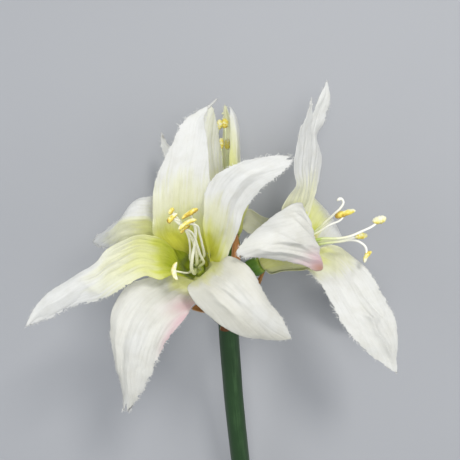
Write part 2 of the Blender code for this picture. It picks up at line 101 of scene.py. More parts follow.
def square_to(v, axis):
    v = np.asarray(v, float)
    return unit(v - np.dot(v, axis) * axis)


def chord_knots(points):
    return np.concatenate([[0.0], np.cumsum(np.linalg.norm(np.diff(points, axis=0), axis=1))])


def curve(points, knots, t):
    """A smooth curve through the points, which are reached at the knots, at any array of places t."""
    points = np.asarray(points, float)
    t = np.asarray(t, float)
    step = np.diff(knots)[:, None]
    slope = np.diff(points, axis=0) / step
    tangent = np.empty_like(points)
    tangent[0], tangent[-1] = slope[0], slope[-1]
    tangent[1:-1] = (slope[:-1] * step[1:] + slope[1:] * step[:-1]) / (step[1:] + step[:-1])
    i = np.clip(np.searchsorted(knots, t, side="right") - 1, 0, len(knots) - 2)
    w = (knots[i + 1] - knots[i])[..., None]
    s = (t - knots[i])[..., None] / w
    return (
        (2 * s**3 - 3 * s**2 + 1) * points[i]
        + (s**3 - 2 * s**2 + s) * w * tangent[i]
        + (3 * s**2 - 2 * s**3) * points[i + 1]
        + (s**3 - s**2) * w * tangent[i + 1]
    )


def smooth_path(points, count):
    knots = chord_knots(np.asarray(points, float))
    return curve(points, knots, np.linspace(0, knots[-1], count))


def ease(low, high, x):
    s = np.clip((np.asarray(x, float) - low) / (high - low), 0, 1)
    return s * s * (3 - 2 * s)


def wander(seed, x):
    """Smooth noise from -1 to 1 along a line, one cell for each whole number of x."""
    steps = np.random.default_rng(seed).uniform(-1, 1, 512)
    i = np.floor(x).astype(int)
    f = x - i
    f = f * f * (3 - 2 * f)
    return steps[i % 512] * (1 - f) + steps[(i + 1) % 512] * f


def mottle(seed, x, y):
    """Smooth noise from -1 to 1 over a plane, one cell for each whole number of x and y."""
    steps = np.random.default_rng(seed).uniform(-1, 1, (64, 64))
    i, j = np.floor(x).astype(int), np.floor(y).astype(int)
    f, g = x - i, y - j
    f, g = f * f * (3 - 2 * f), g * g * (3 - 2 * g)
    a, b, c, d = i % 64, (i + 1) % 64, j % 64, (j + 1) % 64
    return (steps[a, c] * (1 - f) + steps[b, c] * f) * (1 - g) + (steps[a, d] * (1 - f) + steps[b, d] * f) * g


# ---- blooms: where each one sits and looks ----------------------------------------
class Bloom:
    """A bloom's frame: the ring that its petals rise from, its axis, and the directions of azimuth 0 and 90."""

    def __init__(self, base, axis, zero, ninety):
        self.base = sight(*base)
        self.axis = unit(axis)
        self.e1 = square_to(zero, self.axis)
        self.e2 = square_to(ninety, self.axis)

    def radial(self, azimuth):
        a = math.radians(azimuth)
        return unit(self.e1 * math.cos(a) + self.e2 * math.sin(a))

    def at(self, along, radius=0.0, azimuth=0.0):
        return self.base + self.axis * along + self.radial(azimuth) * radius

    def outward(self, point):
        """The direction straight away from the bloom's axis at this point."""
        return square_to(point - self.base, self.axis)

    def turned(self, point, degrees, radial, along):
        """The point turned about the axis and moved away from it and along it."""
        a = math.radians(degrees)
        height = float(np.dot(point - self.base, self.axis))
        d = self.outward(point)
        radius = float(np.linalg.norm(point - self.base - self.axis * height))
        way = d * math.cos(a) + np.cross(self.axis, d) * math.sin(a)
        return self.base + self.axis * (height + along) + way * (radius + radial)


BLOOMS = {
    "a": Bloom((199, 270, -40), (-0.13, 0.33, 0.93), (1, 0, 0), (0, 1, 0)),
    "b": Bloom((231, 238, -68), (-0.08, 0.92, -0.38), (1, 0, 0), (0, 0, 1)),
    "c": Bloom((262, 264, -48), (0.846, 0.42, 0.327), (0, 0, 1), (0, 1, 0)),
}

# ---- petals: the part's own stations -------------------------------------------------
# bloom, azimuth of its base, rings used, then stations of (one edge, midrib, other edge)
PETALS = {
    "petal_a1": ("a", 95, 2, (
        ((173, 247, -14), (187, 242, -22), (199.5, 245, -21)),
        ((156, 236, -4), (181, 231, -13), (207, 231, -9)),
        ((152.8, 215, 2), (181, 210, -4), (210, 208, -1)),
        ((153, 196, 5), (182, 192, 0), (211, 190, 2)),
        ((157, 175, 7), (183, 172, 2), (209, 171, 4)),
        ((166, 156, 7), (187, 153, 3), (208, 153, 5)),
        ((177, 134, 6), (191, 133, 3), (205.5, 133, 5)),
        ((183, 122, 4), (194, 120, 2.5), (204.2, 120, 4)),
        ((196, 112, 2), (201, 112, 1.5), (206, 113, 2)),
    ), (207.5, 106.5, 0)),
    "petal_a2": ("a", 35, 2, (
        ((207, 249, -14), (213.5, 253, -21), (219, 260, -20)),
        ((203, 228, 0), (219, 236, -9), (232, 251, -11)),
        ((204, 210, 7), (223, 217, -1), (239, 229, -6)),
        ((205, 193, 11), (227, 200, 4), (244, 212, -3)),
        ((213, 178, 13), (235, 186, 7), (251, 201, 0)),
        ((229, 167, 13), (247, 175, 9), (263, 187, 4)),
        ((249, 159.5, 11), (262, 167, 8), (275, 178.5, 5)),
        ((270, 156, 8), (278, 161, 6), (285, 170.5, 4)),
    ), (293, 157, 2)),
    "petal_a3": ("a", -25, 2, (
        ((219, 262, -15), (209, 270, -14), (197, 280, -17)),
        ((230, 256, -2), (214, 277, 0), (187.5, 288, -6)),
        ((245, 264, 4), (227, 285, 9), (195, 303, 0)),
        ((256, 277, 6), (240, 296, 12), (211, 318, 3)),
        ((264, 293, 6), (252, 308, 11), (226, 328.5, 3)),
        ((271, 305, 3), (263, 319, 7), (241, 335.5, 1)),
        ((280, 315, 0), (273, 328, 2), (256, 339.3, -2)),
        ((287, 328, -4), (283, 334, -3), (275, 340.2, -5)),
    ), (291, 338.5, -8)),
    "petal_a4": ("a", 275, 2, (
        ((199, 291, -21), (185, 287, -29), (170, 278, -27)),
        ((193, 306, -14), (168, 297, -16), (149, 277, -17)),
        ((184, 320, -9), (153, 309, -7), (126, 287, -9)),
        ((171, 335, -7), (142, 324, -2), (112, 309, -6)),
        ((162, 350, -6), (135, 341, 0), (110, 326, -5)),
        ((155, 365, -6), (131, 357, -1), (112.5, 345, -6)),
        ((148, 380, -8), (129, 374, -4), (117, 366, -8)),
        ((140, 395, -11), (129, 392, -8), (121.5, 387, -11)),
    ), (126, 411, -15)),
    "petal_a5": ("a", 215, 2, (
        ((174, 275, -18), (170, 262, -20), (171, 246, -12)),
        ((159, 279.5, -7), (154, 258, -7), (152, 236, 1)),
        ((146, 276, -2), (139, 256, -1), (137, 236, 5)),
        ((131, 282.5, 3), (125, 262, 4), (121, 241.5, 8)),
        ((117, 291.5, 6), (110, 270, 8), (106, 250, 9)),
        ((102, 299, 8), (97, 279, 12), (96, 262, 10)),
        ((86, 303, 9), (82, 285, 13), (81, 271.5, 11)),
        ((67, 308.5, 9), (64, 296, 13), (63, 283.5, 11)),
        ((48, 319, 9), (47, 306, 12), (47, 294, 11)),
        ((35, 323.5, 10), (35, 316, 11), (34, 309, 11)),
    ), (26, 326, 11)),
    "petal_a6": ("a", 155, 2, (
        ((168, 254, -24), (167, 241, -22), (172, 230, -22)),
        ((150, 247, -18), (150, 220, -10), (155, 201, -13)),
        ((137, 247, -16), (137, 219, -6), (145, 197.5, -11)),
        ((125, 248, -17), (126, 220, -7), (136, 200, -12)),
        ((114, 248.5, -21), (115, 229, -13), (122, 217.5, -17)),
        ((104, 246, -28), (104, 236, -24), (109, 227.5, -26)),
    ), (93.5, 241, -38)),
    "petal_b1": ("b", 170, 3, (
        ((190, 186, -70), (197, 181, -82), (206, 177, -92)),
        ((176, 171, -73), (184, 166, -84), (193, 161, -93)),
        ((165, 157, -79), (173, 152, -87), (181, 148, -93)),
        ((161.3, 145, -86), (165, 144, -89), (169, 145, -92)),
    ), (161.5, 133, -93)),
    "petal_b2": ("b", 110, 3, (
        ((198, 180, -58), (209, 179, -56), (221.5, 180, -66)),
        ((193, 166, -56), (207, 166, -53), (222, 166, -63)),
        ((192, 150, -55), (206, 150, -51), (221, 150, -60)),
        ((195, 133, -55), (206, 133, -51), (218.4, 133, -58)),
        ((201, 118, -54), (208, 118, -52), (215.2, 117.5, -55)),
    ), (211, 106, -52)),
    "petal_b3": ("b", 290, 3, (
        ((221, 186, -96), (231, 185, -104), (242, 185, -98)),
        ((221, 162, -98), (230, 161, -107), (239, 160, -98)),
        ((222.5, 138, -98), (229, 138, -104), (236, 138, -97)),
        ((223, 122, -97), (227, 121, -101), (232, 121, -97)),
    ), (225, 105.5, -97)),
    "petal_b4": ("b", 50, 3, (
        ((230, 180, -62), (240, 180, -66), (243, 180, -84)),
        ((229.5, 162, -60), (238.5, 162, -63), (240, 161, -82)),
        ((230, 142, -60), (238, 143, -63), (240, 144, -76)),
        ((230, 126, -60), (236.6, 127, -62), (239, 128, -71)),
        ((229.8, 115, -60), (234, 115, -61), (236.6, 116, -65)),
    ), (230.2, 106.8, -62)),
    "petal_b5": ("b", -10, 2, (
        ((247, 210.5, -76), (249, 220, -80), (247, 230, -77)),
        ((262, 217, -80), (261, 226, -86), (258, 234, -84)),
        ((278, 220, -88), (276, 232, -94), (272, 245, -92)),
        ((293, 226, -97), (291, 241, -101), (286, 256, -98)),
        ((304, 238, -104), (302, 249, -107), (297, 258, -105)),
    ), (310, 256, -109)),
    "petal_b6": ("b", 230, 3, (
        ((201, 202, -97), (210, 196, -103), (220, 192, -104)),
        ((186, 194, -108), (198, 186, -114), (210, 180, -115)),
        ((175, 184, -116), (187, 177, -120), (198, 170, -121)),
    ), (171, 167, -123.6)),
    "petal_c1": ("c", 122, 3, (
        ((301, 201, -42), (307, 199, -52), (314, 197, -56)),
        ((301, 186, -40), (309, 185, -52), (317.4, 185, -60)),
        ((303, 166, -39), (312, 165, -52), (322, 163, -63)),
        ((306, 150, -40), (314, 148, -50), (320.5, 149, -61)),
        ((308, 136, -42), (313, 136, -49), (317, 136, -56)),
        ((310, 124, -43), (316, 123, -48), (323.5, 124, -53)),
        ((314, 111, -44), (320, 110, -48), (327, 110.5, -52)),
        ((319, 98, -45), (325, 97, -47), (330, 97, -50)),
    ), (327, 81, -48)),
    "petal_c2": ("c", 62, 3, (
        ((286, 206.5, -14), (298, 203.5, -23), (307, 200, -33)),
        ((290.5, 195.5, -12), (300.5, 194.5, -22), (308.5, 193, -33)),
        ((296.5, 187, -9), (303, 186, -21), (310, 186, -33)),
        ((294.5, 170, -4), (302, 170, -19), (311, 169, -33)),
        ((296.5, 148, -5), (303.5, 149, -18), (312, 148, -31)),
        ((299.6, 130, -9), (305.5, 130, -19), (311.5, 130, -29)),
        ((306, 117, -16), (309, 117, -21), (312.5, 117, -26)),
    ), (311.7, 99, -22)),
    "petal_c3": ("c", 2, 3, (
        ((298, 222, -20), (305, 237, -17), (312, 256, -23)),
        ((303.5, 206, -13), (314, 235, -8), (322.5, 264, -16)),
        ((295, 203, -5), (305, 234, 1), (312, 267, -7)),
        ((281, 210, -1), (289, 238, 8), (292, 263, -2)),
        ((266, 221, 2), (272, 243, 12), (274, 260, 3)),
        ((253, 233, 7), (256, 247, 13), (257, 258.5, 7)),
        ((243, 243, 9), (245, 250, 11), (246, 257.5, 9)),
    ), (236, 253.6, 9)),
    "petal_c4": ("c", 305, 3, (
        ((309, 268, -29), (320, 261, -36), (333, 246, -42)),
        ((315, 276, -25), (333, 268, -31), (352, 256.5, -37)),
        ((322, 286, -20), (344, 280, -24), (368, 270, -31)),
        ((331, 302, -16), (354, 296, -20), (379, 287, -27)),
        ((340, 320, -14), (364, 313, -18), (389, 305, -25)),
        ((351, 335, -14), (375, 331, -19), (396, 322, -25)),
        ((363, 348, -16), (384, 346, -21), (397.5, 341, -26)),
        ((380, 361, -20), (390, 360, -24), (396.3, 358, -27)),
    ), (396.5, 373, -25)),
    "petal_c5": ("c", 185, 3, (
        ((313, 200, -60), (325, 217, -66), (338, 234, -60)),
        ((316, 200, -76), (329, 216, -82), (340, 234, -76)),
        ((320, 204, -92), (331, 216, -98), (339, 232, -92)),
        ((324, 209, -108), (330, 217, -112), (335, 226, -108)),
    ), (328, 217, -123.6)),
    "petal_c6": ("c", 245, 3, (
        ((312, 266, -64), (322, 260, -70), (332, 250, -72)),
        ((320, 279, -76), (334, 272, -82), (344, 259, -84)),
        ((328, 291, -86), (344, 286, -92), (356, 271, -94)),
        ((337, 305, -94), (353, 299, -99), (366, 285, -101)),
        ((347, 316, -99), (359, 311, -103), (370, 301, -105)),
    ), (366, 322, -105)),
}
ON_SURFACE = ("petal_b6", "petal_c5")   # their tips carry the blooms' weight on the surface

# ---- stamens and styles: the part's own stations --------------------------------------
# bloom, place on the boss, filament points, anther (centre, towards, length, radius) or None for a style
STAMENS = {
    "stamen_a1": ("a", 150, ((190, 258, -13), (190, 246, -1), (188, 236, 8), (183.8, 228, 15), (179, 221, 19)),
                  ((172, 217.8, 20.5), (176.4, 213.4, 20.5), 7.4, 1.4)),
    "stamen_a2": ("a", 270, ((194.5, 273.5, -20), (191.5, 267, -10), (192, 258, -3), (194, 248, 1), (195.2, 238, 5.5),
                            (195, 228, 11), (192, 218, 18)),
                  ((189.6, 213.4, 22.5), (197.5, 208.7, 22.5), 10.8, 1.35)),
    "stamen_a3": ("a", 30, ((204.2, 254, -10), (202, 244, 3), (199, 233, 13), (196.5, 225, 21)),
                  ((187, 223.3, 25.5), (196, 218.2, 25.5), 11.4, 1.25)),
    "stamen_a4": ("a", 210, ((190, 272, -20), (184.5, 273, -9), (179.5, 271.5, 0)),
                  ((174.6, 271, 3), (174.4, 262, 3.5), 10.8, 1.5)),
    "stamen_a5": ("a", 330, ((203.5, 262, -14), (200.5, 255, -4), (197.5, 246, 5), (194, 236, 13), (189.5, 230.8, 18)),
                  ((184.6, 228.8, 21), (190, 224.6, 21), 6.8, 1.15)),
    "stamen_a6": ("a", 90, ((197.5, 257, -22), (195, 247, -13), (190.5, 237.5, -5), (184, 228, 2), (177.5, 218.5, 7.5)),
                  ((171, 211, 11.5), (173.5, 207.6, 11.5), 4.6, 1.35)),
    "style_a": ("a", None, ((197, 263, -20), (195, 250, -8), (192.3, 239, 1), (186, 229.5, 8), (177, 221.5, 12), (170.5, 216, 14)), None),
    "stamen_b1": ("b", 150, ((222, 188, -82), (218.6, 160, -82), (217, 138, -81)),
                  ((219.4, 124.6, -80), (219.9, 119, -79.5), 7.4, 1.8)),
    "stamen_b2": ("b", 300, ((228, 190, -88), (227, 160, -88), (225.4, 131, -87)),
                  ((224.8, 123.6, -87), (225.4, 118, -87), 7.4, 2.0)),
    "stamen_b3": ("b", 100, ((224.5, 188, -76), (222.6, 165, -75.5), (221.4, 152, -75)),
                  ((221.2, 143.6, -75), (221.2, 138, -75), 8.0, 1.6)),
    "stamen_b4": ("b", 40, ((229.5, 188, -78), (228.6, 165, -79), (227.9, 152, -79)),
                  ((227.4, 144, -79), (227.8, 138, -79), 8.0, 2.0)),
    "stamen_b5": ("b", 250, ((225, 192, -92), (221, 170, -94), (216, 152, -94)),
                  ((214, 146, -94), (213, 140, -94), 8.0, 1.9)),
    "style_b": ("b", None, ((234, 200, -81.5), (235.5, 172, -85), (236, 150, -90), (236, 139, -91)), None),
    "style_c": ("c", None, ((299, 244, -34.5), (316, 231, -31), (327, 220.5, -27), (334.7, 214, -24),
                          (340.6, 208, -23), (343.4, 202, -22.4), (341, 198.6, -22), (337, 200.6, -22)), None),
    "stamen_c1": ("c", 55, ((298, 241.5, -27.5), (316, 233, -24), (331, 224.4, -20), (341.5, 219, -19)),
                  ((345, 213.5, -18.5), (355, 210.2, -17), 13.4, 2.1)),
    "stamen_c2": ("c", 350, ((298, 250, -28), (316, 240, -24), (337, 238.5, -20), (347.5, 237, -18),
                           (363, 230.5, -16), (375, 224.2, -15)),
                  ((379.3, 219.8, -14.5), (388, 217.6, -14), 8.8, 2.4)),
    "stamen_c3": ("c", 180, ((303, 247, -42), (320, 241, -36), (340, 239.5, -32), (353, 238, -29)),
                  ((361.2, 236, -27), (372, 234.4, -27), 8.0, 2.05)),
    "stamen_c4": ("c", 290, ((301, 253, -36), (320, 244, -31), (340, 241.5, -27), (350, 240.2, -25),
                             (359, 241.5, -24), (365.5, 246.5, -23.5)),
                  ((366.8, 256.3, -23), (363.4, 262, -23), 8.6, 1.45)),
    "stamen_c5": ("c", 130, ((302, 243, -45), (309, 239.5, -45)),
                  ((314, 237.6, -44.4), (319, 236, -44), 5.4, 1.3)),
}

# ---- stem and bracts: the part's own stations -----------------------------------------
STEM_PATH = [sight(*p) for p in (
    (228.3, 319, -49), (229.3, 340, -54.5), (231.6, 370, -62), (233.6, 396, -68.5),
    (237, 430, -77), (241.5, 470, -87.5), (247, 512, -99), (252, 548, -110.6),
)]

BRACTS = {
    "bract_tall": (
        ((219.5, 329.5, -42), (225, 331.5, -40.5), (231, 330, -42.5)),
        ((222, 320, -38.5), (227.5, 318, -37.5), (233, 320, -39)),
        ((225, 300, -36), (231, 298, -34.5), (237, 300, -37)),
        ((229, 275, -41), (234.5, 273, -39.5), (239.5, 275, -42)),
        ((231.5, 254, -48), (236, 253, -47), (240.5, 255, -49)),
        ((233, 240, -53), (236, 240, -52.5), (239, 240, -53)),
        ((235, 229, -56), (235.6, 229, -56), (236.2, 229, -56)),
    ),
    "bract_right": (
        ((239, 326, -46), (242.5, 320, -52), (241, 313, -58)),
        ((247, 312, -46), (251, 306, -52), (250, 298, -58)),
        ((250, 298, -49), (256, 292, -54), (259.5, 284.5, -59)),
        ((254, 285, -54), (260, 279, -57), (264.5, 273, -60)),
        ((263, 270.5, -60.5), (264, 269.6, -60.8), (265, 269, -61)),
    ),
    "bract_left": (
        ((219, 324, -46), (215, 320, -52), (216, 313, -58)),
        ((209, 314, -43), (205, 309, -49), (206, 302, -55)),
        ((199.5, 312, -42), (197.8, 307.5, -46), (199, 302.5, -50)),
        ((191.5, 309.4, -42), (191.2, 308.6, -42.4), (191.4, 307.8, -42.8)),
    ),
}


# ---- materials ----------------------------------------------------------------------
class Shader:
    """A material's node tree, with short ways to add nodes."""

    def __init__(self, name):
        self.material = bpy.data.materials.new(name)
        self.material.use_nodes = True
        self.tree = self.material.node_tree
        self.principled = self.tree.nodes["Principled BSDF"]
        self.output = self.tree.nodes["Material Output"]

    def node(self, kind, **settings):
        made = self.tree.nodes.new("ShaderNode" + kind)
        for key, value in settings.items():
            setattr(made, key, value)
        return made

    def join(self, source, target):
        self.tree.links.new(source, target)

    def set(self, **values):
        for key, value in values.items():
            self.principled.inputs[key.replace("_", " ")].default_value = value

    def value(self, name):
        """A number that each vertex carries."""
        return self.node("Attribute", attribute_name=name).outputs["Fac"]

    def sum(self, operation, a, b=None, clamp=False):
        made = self.node("Math", operation=operation, use_clamp=clamp)
        for socket, given in zip(made.inputs, (a, b)):
            if given is None:
                continue
            if isinstance(given, (int, float)):
                socket.default_value = given
            else:
                self.join(given, socket)
        return made.outputs[0]

    def place(self, x, y, z=0.0):
        made = self.node("CombineXYZ")
        for socket, given in zip(made.inputs, (x, y, z)):
            if isinstance(given, (int, float)):
                socket.default_value = given
            else:
                self.join(given, socket)
        return made.outputs[0]

    def noise(self, vector, scale, detail=2.0, rough=0.5):
        made = self.node("TexNoise")
        made.inputs["Scale"].default_value = scale
        made.inputs["Detail"].default_value = detail
        made.inputs["Roughness"].default_value = rough
        self.join(vector, made.inputs["Vector"])
        return made.outputs["Fac"]

    def range(self, x, a, b, low=0.0, high=1.0, smooth=True):
        made = self.node("MapRange", interpolation_type="SMOOTHSTEP" if smooth else "LINEAR")
        self.join(x, made.inputs["Value"])
        for key, given in (("From Min", a), ("From Max", b), ("To Min", low), ("To Max", high)):
            made.inputs[key].default_value = given
        return made.outputs["Result"]

    def ramp(self, x, stops):
        made = self.node("ValToRGB")
        made.color_ramp.interpolation = "EASE"
        elements = made.color_ramp.elements
        while len(elements) < len(stops):
            elements.new(0.5)
        for element, (at, colour) in zip(elements, stops):
            element.position = at
            element.color = (*colour, 1.0)
        self.join(x, made.inputs["Fac"])
        return made.outputs["Color"]

    def mix(self, share, a, b, blend="MIX"):
        made = self.node("Mix", data_type="RGBA", blend_type=blend, clamp_factor=True)
        for socket, given in zip((made.inputs[0], made.inputs[6], made.inputs[7]), (share, a, b)):
            if isinstance(given, (int, float)):
                socket.default_value = given
            elif isinstance(given, tuple):
                socket.default_value = (*given, 1.0)
            else:
                self.join(given, socket)
        return made.outputs[2]

    def bump(self, height, strength, distance, normal=None):
        made = self.node("Bump")
        made.inputs["Strength"].default_value = strength
        made.inputs["Distance"].default_value = distance
        self.join(height, made.inputs["Height"])
        if normal is not None:
            self.join(normal, made.inputs["Normal"])
        return made.outputs["Normal"]


def fabric():
    """Stiffened plain-weave polyester, dyed at the throat: across and along are millimetres on the cloth."""
    s = Shader("petal_fabric")
    across, along = s.value("across"), s.value("along")
    dye, blush, stain = s.value("dye"), s.value("blush"), s.value("stain")
    warm, rust = s.value("warm"), s.value("rust")
    cloth = s.place(across, along)
    streak = s.noise(s.place(s.sum("MULTIPLY", across, 1.0), s.sum("MULTIPLY", along, 0.06)), 0.9, 3.0, 0.6)
    fine = s.noise(s.place(across, s.sum("MULTIPLY", along, 0.12)), 3.4, 2.0, 0.6)
    cloud = s.noise(cloth, 0.11, 3.0, 0.55)
    moved = s.sum("ADD", dye, s.range(streak, 0.25, 0.75, -0.05, 0.05, smooth=False), clamp=True)
    moved = s.sum("MULTIPLY", moved, s.range(dye, 0.0, 0.06), clamp=True)
    colour = s.ramp(moved, (
        (0.00, (0.838, 0.838, 0.822)),
        (0.16, (0.840, 0.840, 0.640)),
        (0.36, (0.825, 0.835, 0.420)),
        (0.62, (0.745, 0.785, 0.125)),
        (0.84, (0.625, 0.690, 0.045)),
        (1.00, (0.360, 0.450, 0.020)),
    ))
    colour = s.mix(s.sum("MULTIPLY", warm, s.range(dye, 0.30, 0.70), clamp=True), colour, (0.78, 0.75, 0.08))
    # cream: a duller, creamier tint over some petals, partly their own cream tone and partly painted shade
    colour = s.mix(s.value("cream"), colour, (0.92, 0.895, 0.79), "MULTIPLY")
    colour = s.mix(s.range(cloud, 0.35, 0.75, 0.0, 0.35), colour, (0.84, 0.825, 0.76), "MULTIPLY")
    colour = s.mix(s.range(streak, 0.42, 0.72, 0.0, 0.13), colour, (0.62, 0.63, 0.58), "MULTIPLY")
    colour = s.mix(s.range(fine, 0.45, 0.8, 0.0, 0.09), colour, (0.6, 0.6, 0.56), "MULTIPLY")
    pink = s.sum("MULTIPLY", blush, s.range(streak, 0.2, 0.8, 0.75, 1.1, smooth=False), clamp=True)
    colour = s.mix(pink, colour, (0.76, 0.47, 0.53))
    colour = s.mix(rust, colour, (0.62, 0.34, 0.25))
    colour = s.mix(stain, colour, (0.20, 0.16, 0.10))
    turn = 2 * math.pi / 0.42
    warp = s.sum("SINE", s.sum("MULTIPLY", across, turn))
    weft = s.sum("SINE", s.sum("MULTIPLY", along, turn))
    weave = s.sum("MULTIPLY", warp, weft)
    normal = s.bump(weave, 0.35, 0.00005)
    normal = s.bump(fine, 0.45, 0.00014, normal)
    normal = s.bump(streak, 0.5, 0.00022, normal)
    s.join(normal, s.principled.inputs["Normal"])
    s.join(colour, s.principled.inputs["Base Color"])
    s.join(s.range(fine, 0.2, 0.8, 0.66, 0.82), s.principled.inputs["Roughness"])
    s.set(Sheen_Weight=0.25, Sheen_Roughness=0.45, Specular_IOR_Level=0.28)
    through = s.node("BsdfTranslucent")
    s.join(s.mix(1.0, colour, (1.0, 0.99, 0.90), "MULTIPLY"), through.inputs["Color"])
    s.join(normal, through.inputs["Normal"])
    both = s.node("MixShader")
    both.inputs["Fac"].default_value = 0.30
    s.join(s.principled.outputs["BSDF"], both.inputs[1])
    s.join(through.outputs["BSDF"], both.inputs[2])
    s.join(both.outputs["Shader"], s.output.inputs["Surface"])
    return s.material


def moulded(name, stops, roughness, grain=90.0, depth=0.00008, lines=0.0, specular=0.4):
    """Moulded plastic whose colour follows the vertex number tone, with a faint grain and lengthwise lines."""
    s = Shader(name)
    tone = s.value("tone")
    spot = s.node("TexCoord").outputs["Object"]
    mist = s.noise(spot, grain, 3.0, 0.6)
    long = s.noise(s.place(s.value("across"), s.sum("MULTIPLY", s.value("along"), 0.04)), 1.1, 2.0, 0.5)
    moved = s.sum("ADD", tone, s.range(mist, 0.2, 0.8, -0.10, 0.10, smooth=False), clamp=True)
    if lines:
        moved = s.sum("ADD", moved, s.range(long, 0.2, 0.8, -lines, lines, smooth=False), clamp=True)
    s.join(s.ramp(moved, stops), s.principled.inputs["Base Color"])
    normal = s.bump(mist, 0.5, depth)
    normal = s.bump(long, 0.5, depth, normal)
    s.join(normal, s.principled.inputs["Normal"])
    s.join(s.range(mist, 0.2, 0.8, roughness - 0.06, roughness + 0.08), s.principled.inputs["Roughness"])
    s.set(Specular_IOR_Level=specular)
    return s.material


def pollen():
    """Flocked anther: fine yellow grains over a cream body."""
    s = Shader("anther_flock")
    tone = s.value("tone")
    spot = s.node("TexCoord").outputs["Object"]
    grains = s.node("TexVoronoi", feature="F1")
    grains.inputs["Scale"].default_value = 2600.0
    s.join(spot, grains.inputs["Vector"])
    cloud = s.noise(spot, 420.0, 2.0)
    moved = s.sum("ADD", tone, s.range(cloud, 0.25, 0.75, -0.22, 0.22, smooth=False), clamp=True)
    colour = s.ramp(moved, (
        (0.0, (0.80, 0.78, 0.62)),
        (0.33, (0.78, 0.73, 0.38)),
        (0.6, (0.75, 0.64, 0.12)),
        (0.8, (0.64, 0.46, 0.07)),
        (1.0, (0.40, 0.26, 0.04)),
    ))
    s.join(colour, s.principled.inputs["Base Color"])
    s.join(s.bump(grains.outputs["Distance"], 0.7, 0.00016), s.principled.inputs["Normal"])
    s.set(Roughness=0.85, Specular_IOR_Level=0.25, Sheen_Weight=0.2)
    return s.material


def paper():
    """A dry papery bract: long fibres, blotches and paler worn edges."""
    s = Shader("bract_paper")
    across, along = s.value("across"), s.value("along")
    tone, edge = s.value("tone"), s.value("edge")
    fibres = s.noise(s.place(across, s.sum("MULTIPLY", along, 0.05)), 2.6, 4.0, 0.65)
    blotch = s.noise(s.place(across, s.sum("MULTIPLY", along, 0.5)), 0.3, 3.0, 0.6)
    moved = s.sum("ADD", tone, s.range(fibres, 0.25, 0.75, -0.30, 0.30, smooth=False), clamp=True)
    colour = s.ramp(moved, (
        (0.0, (0.110, 0.042, 0.014)),
        (0.4, (0.300, 0.120, 0.038)),
        (0.75, (0.450, 0.205, 0.070)),
        (1.0, (0.60, 0.38, 0.16)),
    ))
    colour = s.mix(s.range(blotch, 0.5, 0.75, 0.0, 0.5), colour, (0.75, 0.45, 0.32), "MULTIPLY")
    colour = s.mix(edge, colour, (0.52, 0.36, 0.20))
    s.join(colour, s.principled.inputs["Base Color"])
    s.join(s.bump(fibres, 0.8, 0.00025), s.principled.inputs["Normal"])
    s.set(Roughness=0.78, Specular_IOR_Level=0.3)
    return s.material


def steel():
    s = Shader("wire_steel")
    long = s.noise(s.place(s.value("across"), s.sum("MULTIPLY", s.value("along"), 0.05)), 3.0, 3.0, 0.6)
    s.join(s.ramp(long, ((0.0, (0.30, 0.30, 0.31)), (1.0, (0.58, 0.58, 0.58)))), s.principled.inputs["Base Color"])
    s.join(s.range(long, 0.2, 0.8, 0.32, 0.52), s.principled.inputs["Roughness"])
    s.set(Metallic=1.0)
    return s.material


FABRIC = fabric()
STEM_GREEN = moulded("stem_plastic", (
    (0.0, (0.006, 0.022, 0.004)), (0.5, (0.014, 0.046, 0.010)), (0.8, (0.040, 0.095, 0.030)), (1.0, (0.11, 0.19, 0.10)),
), 0.42, 60.0, 0.00012, 0.12, 0.45)
LEAF_GREEN = moulded("ovary_plastic", (
    (0.0, (0.036, 0.105, 0.008)), (0.5, (0.105, 0.225, 0.018)), (1.0, (0.42, 0.50, 0.07)),
), 0.48, 160.0, 0.00014, 0.16, 0.4)
FILAMENT_CREAM = moulded("filament_plastic", (
    (0.0, (0.42, 0.54, 0.12)), (0.35, (0.72, 0.76, 0.42)), (0.7, (0.82, 0.81, 0.62)), (1.0, (0.85, 0.84, 0.76)),
), 0.5, 300.0, 0.00006, 0.05, 0.4)
POLLEN = pollen()
PAPER = paper()
STEEL = steel()


# ---- pieces ----------------------------------------------------------------------------
def piece(name, verts, faces, materials, nodes=(), values=None, flat=None, index=None):
    """A mesh in the row frame that rides on the part. values are numbers for each vertex, flat the faces that stay flat."""
    data = bpy.data.meshes.new(name)
    data.from_pydata(np.asarray(verts, float) * 0.001, [], [tuple(int(i) for i in f) for f in faces])
    data.update()
    data.shade_smooth()
    if flat is not None and len(flat):
        sharp = data.attributes.new("sharp_face", "BOOLEAN", "FACE") if "sharp_face" not in data.attributes else data.attributes["sharp_face"]
        marks = np.zeros(len(data.polygons), bool)
        marks[np.asarray(flat)] = True
        sharp.data.foreach_set("value", marks)
    for key, numbers in (values or {}).items():
        made = data.attributes.new(key, "FLOAT", "POINT")
        made.data.foreach_set("value", np.asarray(numbers, np.float32).ravel())
    for m in materials:
        data.materials.append(m)
    if index is not None:
        data.polygons.foreach_set("material_index", np.asarray(index, np.int32))
    made = bpy.data.objects.new(name, data)
    bpy.context.scene.collection.objects.link(made)
    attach(made, "root")
    if nodes:
        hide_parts(*nodes)
    return made


class Parts:
    """Vertices, faces and vertex numbers of several closed shapes that make one piece."""

    def __init__(self, *keys):
        self.verts, self.faces, self.index, self.count = [], [], [], 0
        self.values = {k: [] for k in keys}

    def add(self, verts, faces, material=0, **values):
        verts = np.asarray(verts, float)
        self.verts.append(verts)
        self.faces += [tuple(i + self.count for i in f) for f in faces]
        self.index += [material] * len(faces)
        for k in self.values:
            self.values[k].append(np.broadcast_to(np.asarray(values.get(k, 0.0), float), (len(verts),)))
        self.count += len(verts)

    def make(self, name, materials, nodes=()):
        return piece(
            name, np.concatenate(self.verts), self.faces, materials, nodes,
            {k: np.concatenate(v) for k, v in self.values.items()}, index=self.index,
        )


